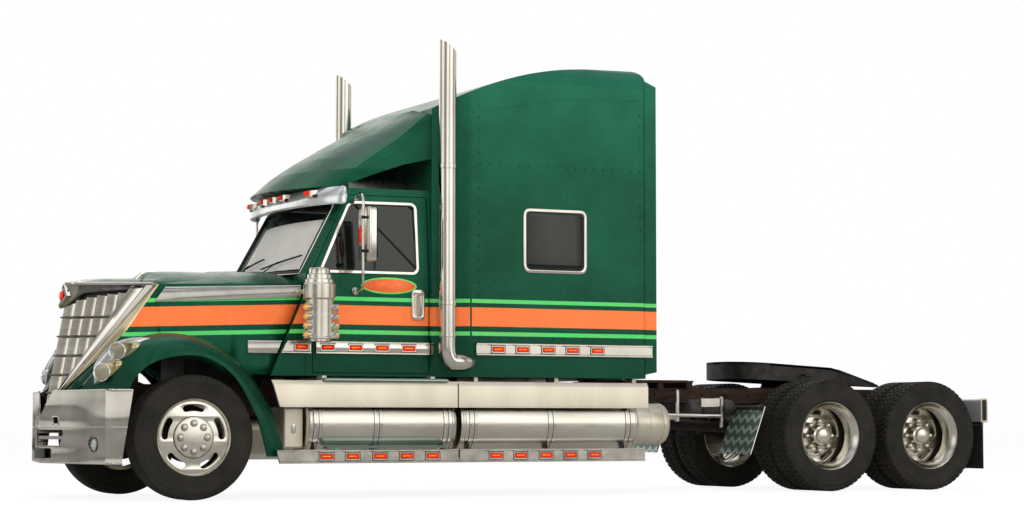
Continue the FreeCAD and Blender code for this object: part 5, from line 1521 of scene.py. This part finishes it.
def coupling_rim(shape, path, thick):
    """A deep rim along an edge of the plate; thick scales its inner side."""
    rings = []
    for x, y in fine_line(path, 90):
        z, foot = plate_height(x) - 6, line_height(RIM_REAR, RIM_FRONT, x)
        inner = (x - 16 if x > -6000 else x, y * thick)
        rings.append([(x, y, z), (x, y, foot), (*inner, foot), (*inner, z)])
    shape.loft(rings)


def coupling_details():
    """Top plate with rounded front, ramps and throat, its rims, beads and release handle."""
    shape = Shape("cast")
    front, corner, half, rear, throat = -5782, 400, 468, -7488, 205
    shape.use("bar")
    for index in range(5):
        radius = 190 + index * 52
        path = []
        for k in range(13):
            turn = math.radians(20 + 140 * k / 12)
            x, y = PIVOT_X + radius * math.cos(turn) * 1.2, radius * math.sin(turn)
            if abs(y) < 440 and -6780 < x < -5830:
                path.append((Vector((x, y, plate_height(x) - 1)), UP))
        shape.strip(path, 9, 2.2, sink=3)
    shape.use("cast")
    for start, end in ((232, 92), (298, 450)):
        path = [(Vector((x, start + (end - start) * (x + 7440) / 540, 1192 + (x + 6810) * 0.24)), UP)
                for x in (-7440, -7170, -6900)]
        shape.strip(path, 16, 7, sink=6)
    shape.block(-6650, -6550, 362, 408, 1058, 1198, 6)
    coupling_rim(shape, [(rear, throat), (-6740, 30)], 1.1)
    shape.both_sides()
    arc = [(front - corner * 0.8 * (1 - math.cos(a)), half - corner * (1 - math.sin(a)))
           for a in [math.pi / 2 * k / 10 for k in range(11)]]
    edge = [(rear, 300), (-6900, half)] + arc[::-1]
    edge += [(x, -y) for x, y in reversed(edge)]
    outline = edge + [(rear, -throat), (-6720, -27), (-6650, -27), (-6650, 27), (-6720, 27),
                      (rear, throat), edge[0]]
    top = [(x, y, plate_height(x)) for x, y in fine_line(outline, 90)[:-1]]
    shape.loft([[(x, y, z - 24) for x, y, z in top], [(x, y, z - 3) for x, y, z in top],
                [(x * 0.9996 - 2.6, y * 0.994, z) for x, y, z in top]])
    coupling_rim(shape, edge, 0.955)
    shape.lathe([(70, 1130), (70, 1192), (27, 1192), (27, 1130)], (PIVOT_X, 0, 0), "z", loop=True)
    shape.use("bar")
    spots = [(PIVOT_X + a, b) for a in (-120, 120) for b in (-160, 160)]
    bolts(shape, [(x, y, plate_height(x) - 8) for x, y in spots], "z", 12)
    # release handle
    grip = (-6480, 540, 1110)
    shape.use("chassis").tube([(-6480, 380, 1120), (-6480, 500, 1118), grip], 11, 20)
    shape.tube([grip, (-6440, 560, 1104), (-6520, 560, 1104), grip], 8, 10, 10)
    shape.finish("coupling_plate", "fifth_wheel", ["fifth_wheel_plate"])


def fairing_details():
    """Crease above the fairing's side panel, and the lip at its rear."""
    skin = Skin("roof_fairing")
    shape = Shape("paint")
    shape.strip(skin.path([(-1560, 2840), (-1850, 2990), (-2185, 3330)], 40), 12, 3, sink=3)
    shape.strip(skin.path([(-2178, 3010), (-2170, 3180), (-2186, 3330)], 40), 26, 9, sink=3)
    shape.both_sides().finish("fairing_creases")


bumper_details()
frame_details()
light_bar()
flaps_and_guards()
air_tank_details()
coupling_details()
fairing_details()
grille_shadow_screen()


# ------------------------------------------------------------------ stage, lights, camera
# colour of the studio by height, and its brightness by degrees from the front
BANDS = ((0.0, (0.16, 0.14, 0.12)), (0.025, (0.75, 0.73, 0.69)), (0.06, (1.05, 1.03, 0.97)),
         (0.34, (1.0, 0.98, 0.94)), (0.45, (0.8, 0.8, 0.78)), (0.6, (0.3, 0.3, 0.32)),
         (0.74, (0.8, 0.81, 0.85)), (1.0, (0.85, 0.85, 0.88)))
COMPASS = ((0, 1.15), (14, 1.1), (24, 0.3), (46, 0.34), (56, 1.2), (74, 1.5), (84, 0.55),
           (94, 1.1), (104, 1.5), (134, 1.4), (142, 0.25), (152, 0.3), (162, 0.8), (180, 0.5))


def floor():
    bpy.ops.mesh.primitive_plane_add(size=400, location=(0, 0, -0.002))
    plane = bpy.context.object
    plane.name = "floor"
    t = Tree("pale_floor")
    t.set(Base_Color=t.ramp(t.noise(0.4), [(0.3, (0.86, 0.86, 0.86)), (0.7, (0.9, 0.9, 0.9))]),
          Roughness=0.9, Specular_IOR_Level=0.1)
    path = t.node("LightPath").outputs
    glow = t.node("Emission", {"Strength": 1.06}).outputs[0]
    dim = t.node("Emission", {"Color": (0.2, 0.185, 0.165)}).outputs[0]
    seen = t.over(t.math("MULTIPLY", path["Is Camera Ray"], 0.86), t.shader.outputs[0], glow)
    mirrored = t.over(t.math("MULTIPLY", path["Is Glossy Ray"], 0.75), seen, dim)
    t.feed(t.nodes["Material Output"].inputs["Surface"], mirrored)
    plane.data.materials.append(t.owner)


def studio():
    """Softboxes stand all round: brightness by height first, then by compass direction."""
    t = Tree("studio", "worlds", "Generated")
    bpy.context.scene.world = t.owner
    path = t.node("LightPath").outputs
    x, y, z = t.split(t.coords)
    turn = t.math("DIVIDE", t.math("ABSOLUTE", t.math("ARCTAN2", y, x)), math.pi)
    around = t.ramp(turn, [(degrees / 180, (bright,) * 3) for degrees, bright in COMPASS])
    # soft uneven patches, so that bright pieces have something to reflect
    patches = t.remap(t.noise(2.2, 1.0), 0.38, 0.62, 0.85, 1.08)
    shaded = t.node("VectorMath", {0: t.ramp(z, BANDS), "Scale": patches}, operation="SCALE")
    turned = t.node("VectorMath", {0: shaded.outputs[0], 1: around}, operation="MULTIPLY")
    background = t.nodes["Background"]
    t.feed(background.inputs["Color"], turned.outputs[0])
    strength = t.math("ADD", t.math("MULTIPLY", path["Is Glossy Ray"], 0.2), 0.8)
    t.feed(background.inputs["Strength"], strength)
    seen = t.node("Background", {"Color": (1, 1, 1)}).outputs[0]
    direct = t.math("MAXIMUM", path["Is Camera Ray"], path["Is Transmission Ray"])
    t.feed(t.nodes["World Output"].inputs["Surface"], t.over(direct, background.outputs[0], seen))


def aimed(name, data, place, direction):
    """A lamp or camera that looks in a direction."""
    made = bpy.data.objects.new(name, data)
    made.location = place
    made.rotation_mode = "QUATERNION"
    made.rotation_quaternion = Vector(direction).to_track_quat("-Z", "Y")
    bpy.context.collection.objects.link(made)
    return made


def lamp(name, place, target, size, power, colour=(1, 1, 1)):
    data = bpy.data.lights.new(name, "AREA")
    data.shape, data.size, data.energy, data.color = "DISK", size, power, colour
    lamp_object = aimed(name, data, place, Vector(target) - Vector(place))
    lamp_object.visible_glossy = False


def camera():
    data = bpy.data.cameras.new("camera")
    data.lens, data.sensor_width = 83.6, 36.0
    data.clip_start, data.clip_end = 0.1, 500
    bpy.context.scene.camera = aimed("camera", data, (10.0896, 20.0784, 0.6336),
                                     (-0.4458, -0.8926, 0.0667))


floor()
studio()
lamp("key", (6, 13, 9), (0, 0, 1.5), 6, 900, (1, 0.97, 0.92))
lamp("fill", (-9, 12, 4), (-1, 0, 1.5), 8, 380)
lamp("front", (13, 1, 5), (2, 0, 1.5), 6, 260)
lamp("top", (0, 0, 12), (0, 0, 0), 9, 380)
lamp("back", (-5, -13, 8), (0, 0, 1.5), 8, 480)
camera()
bpy.context.scene.view_settings.view_transform = "Standard"
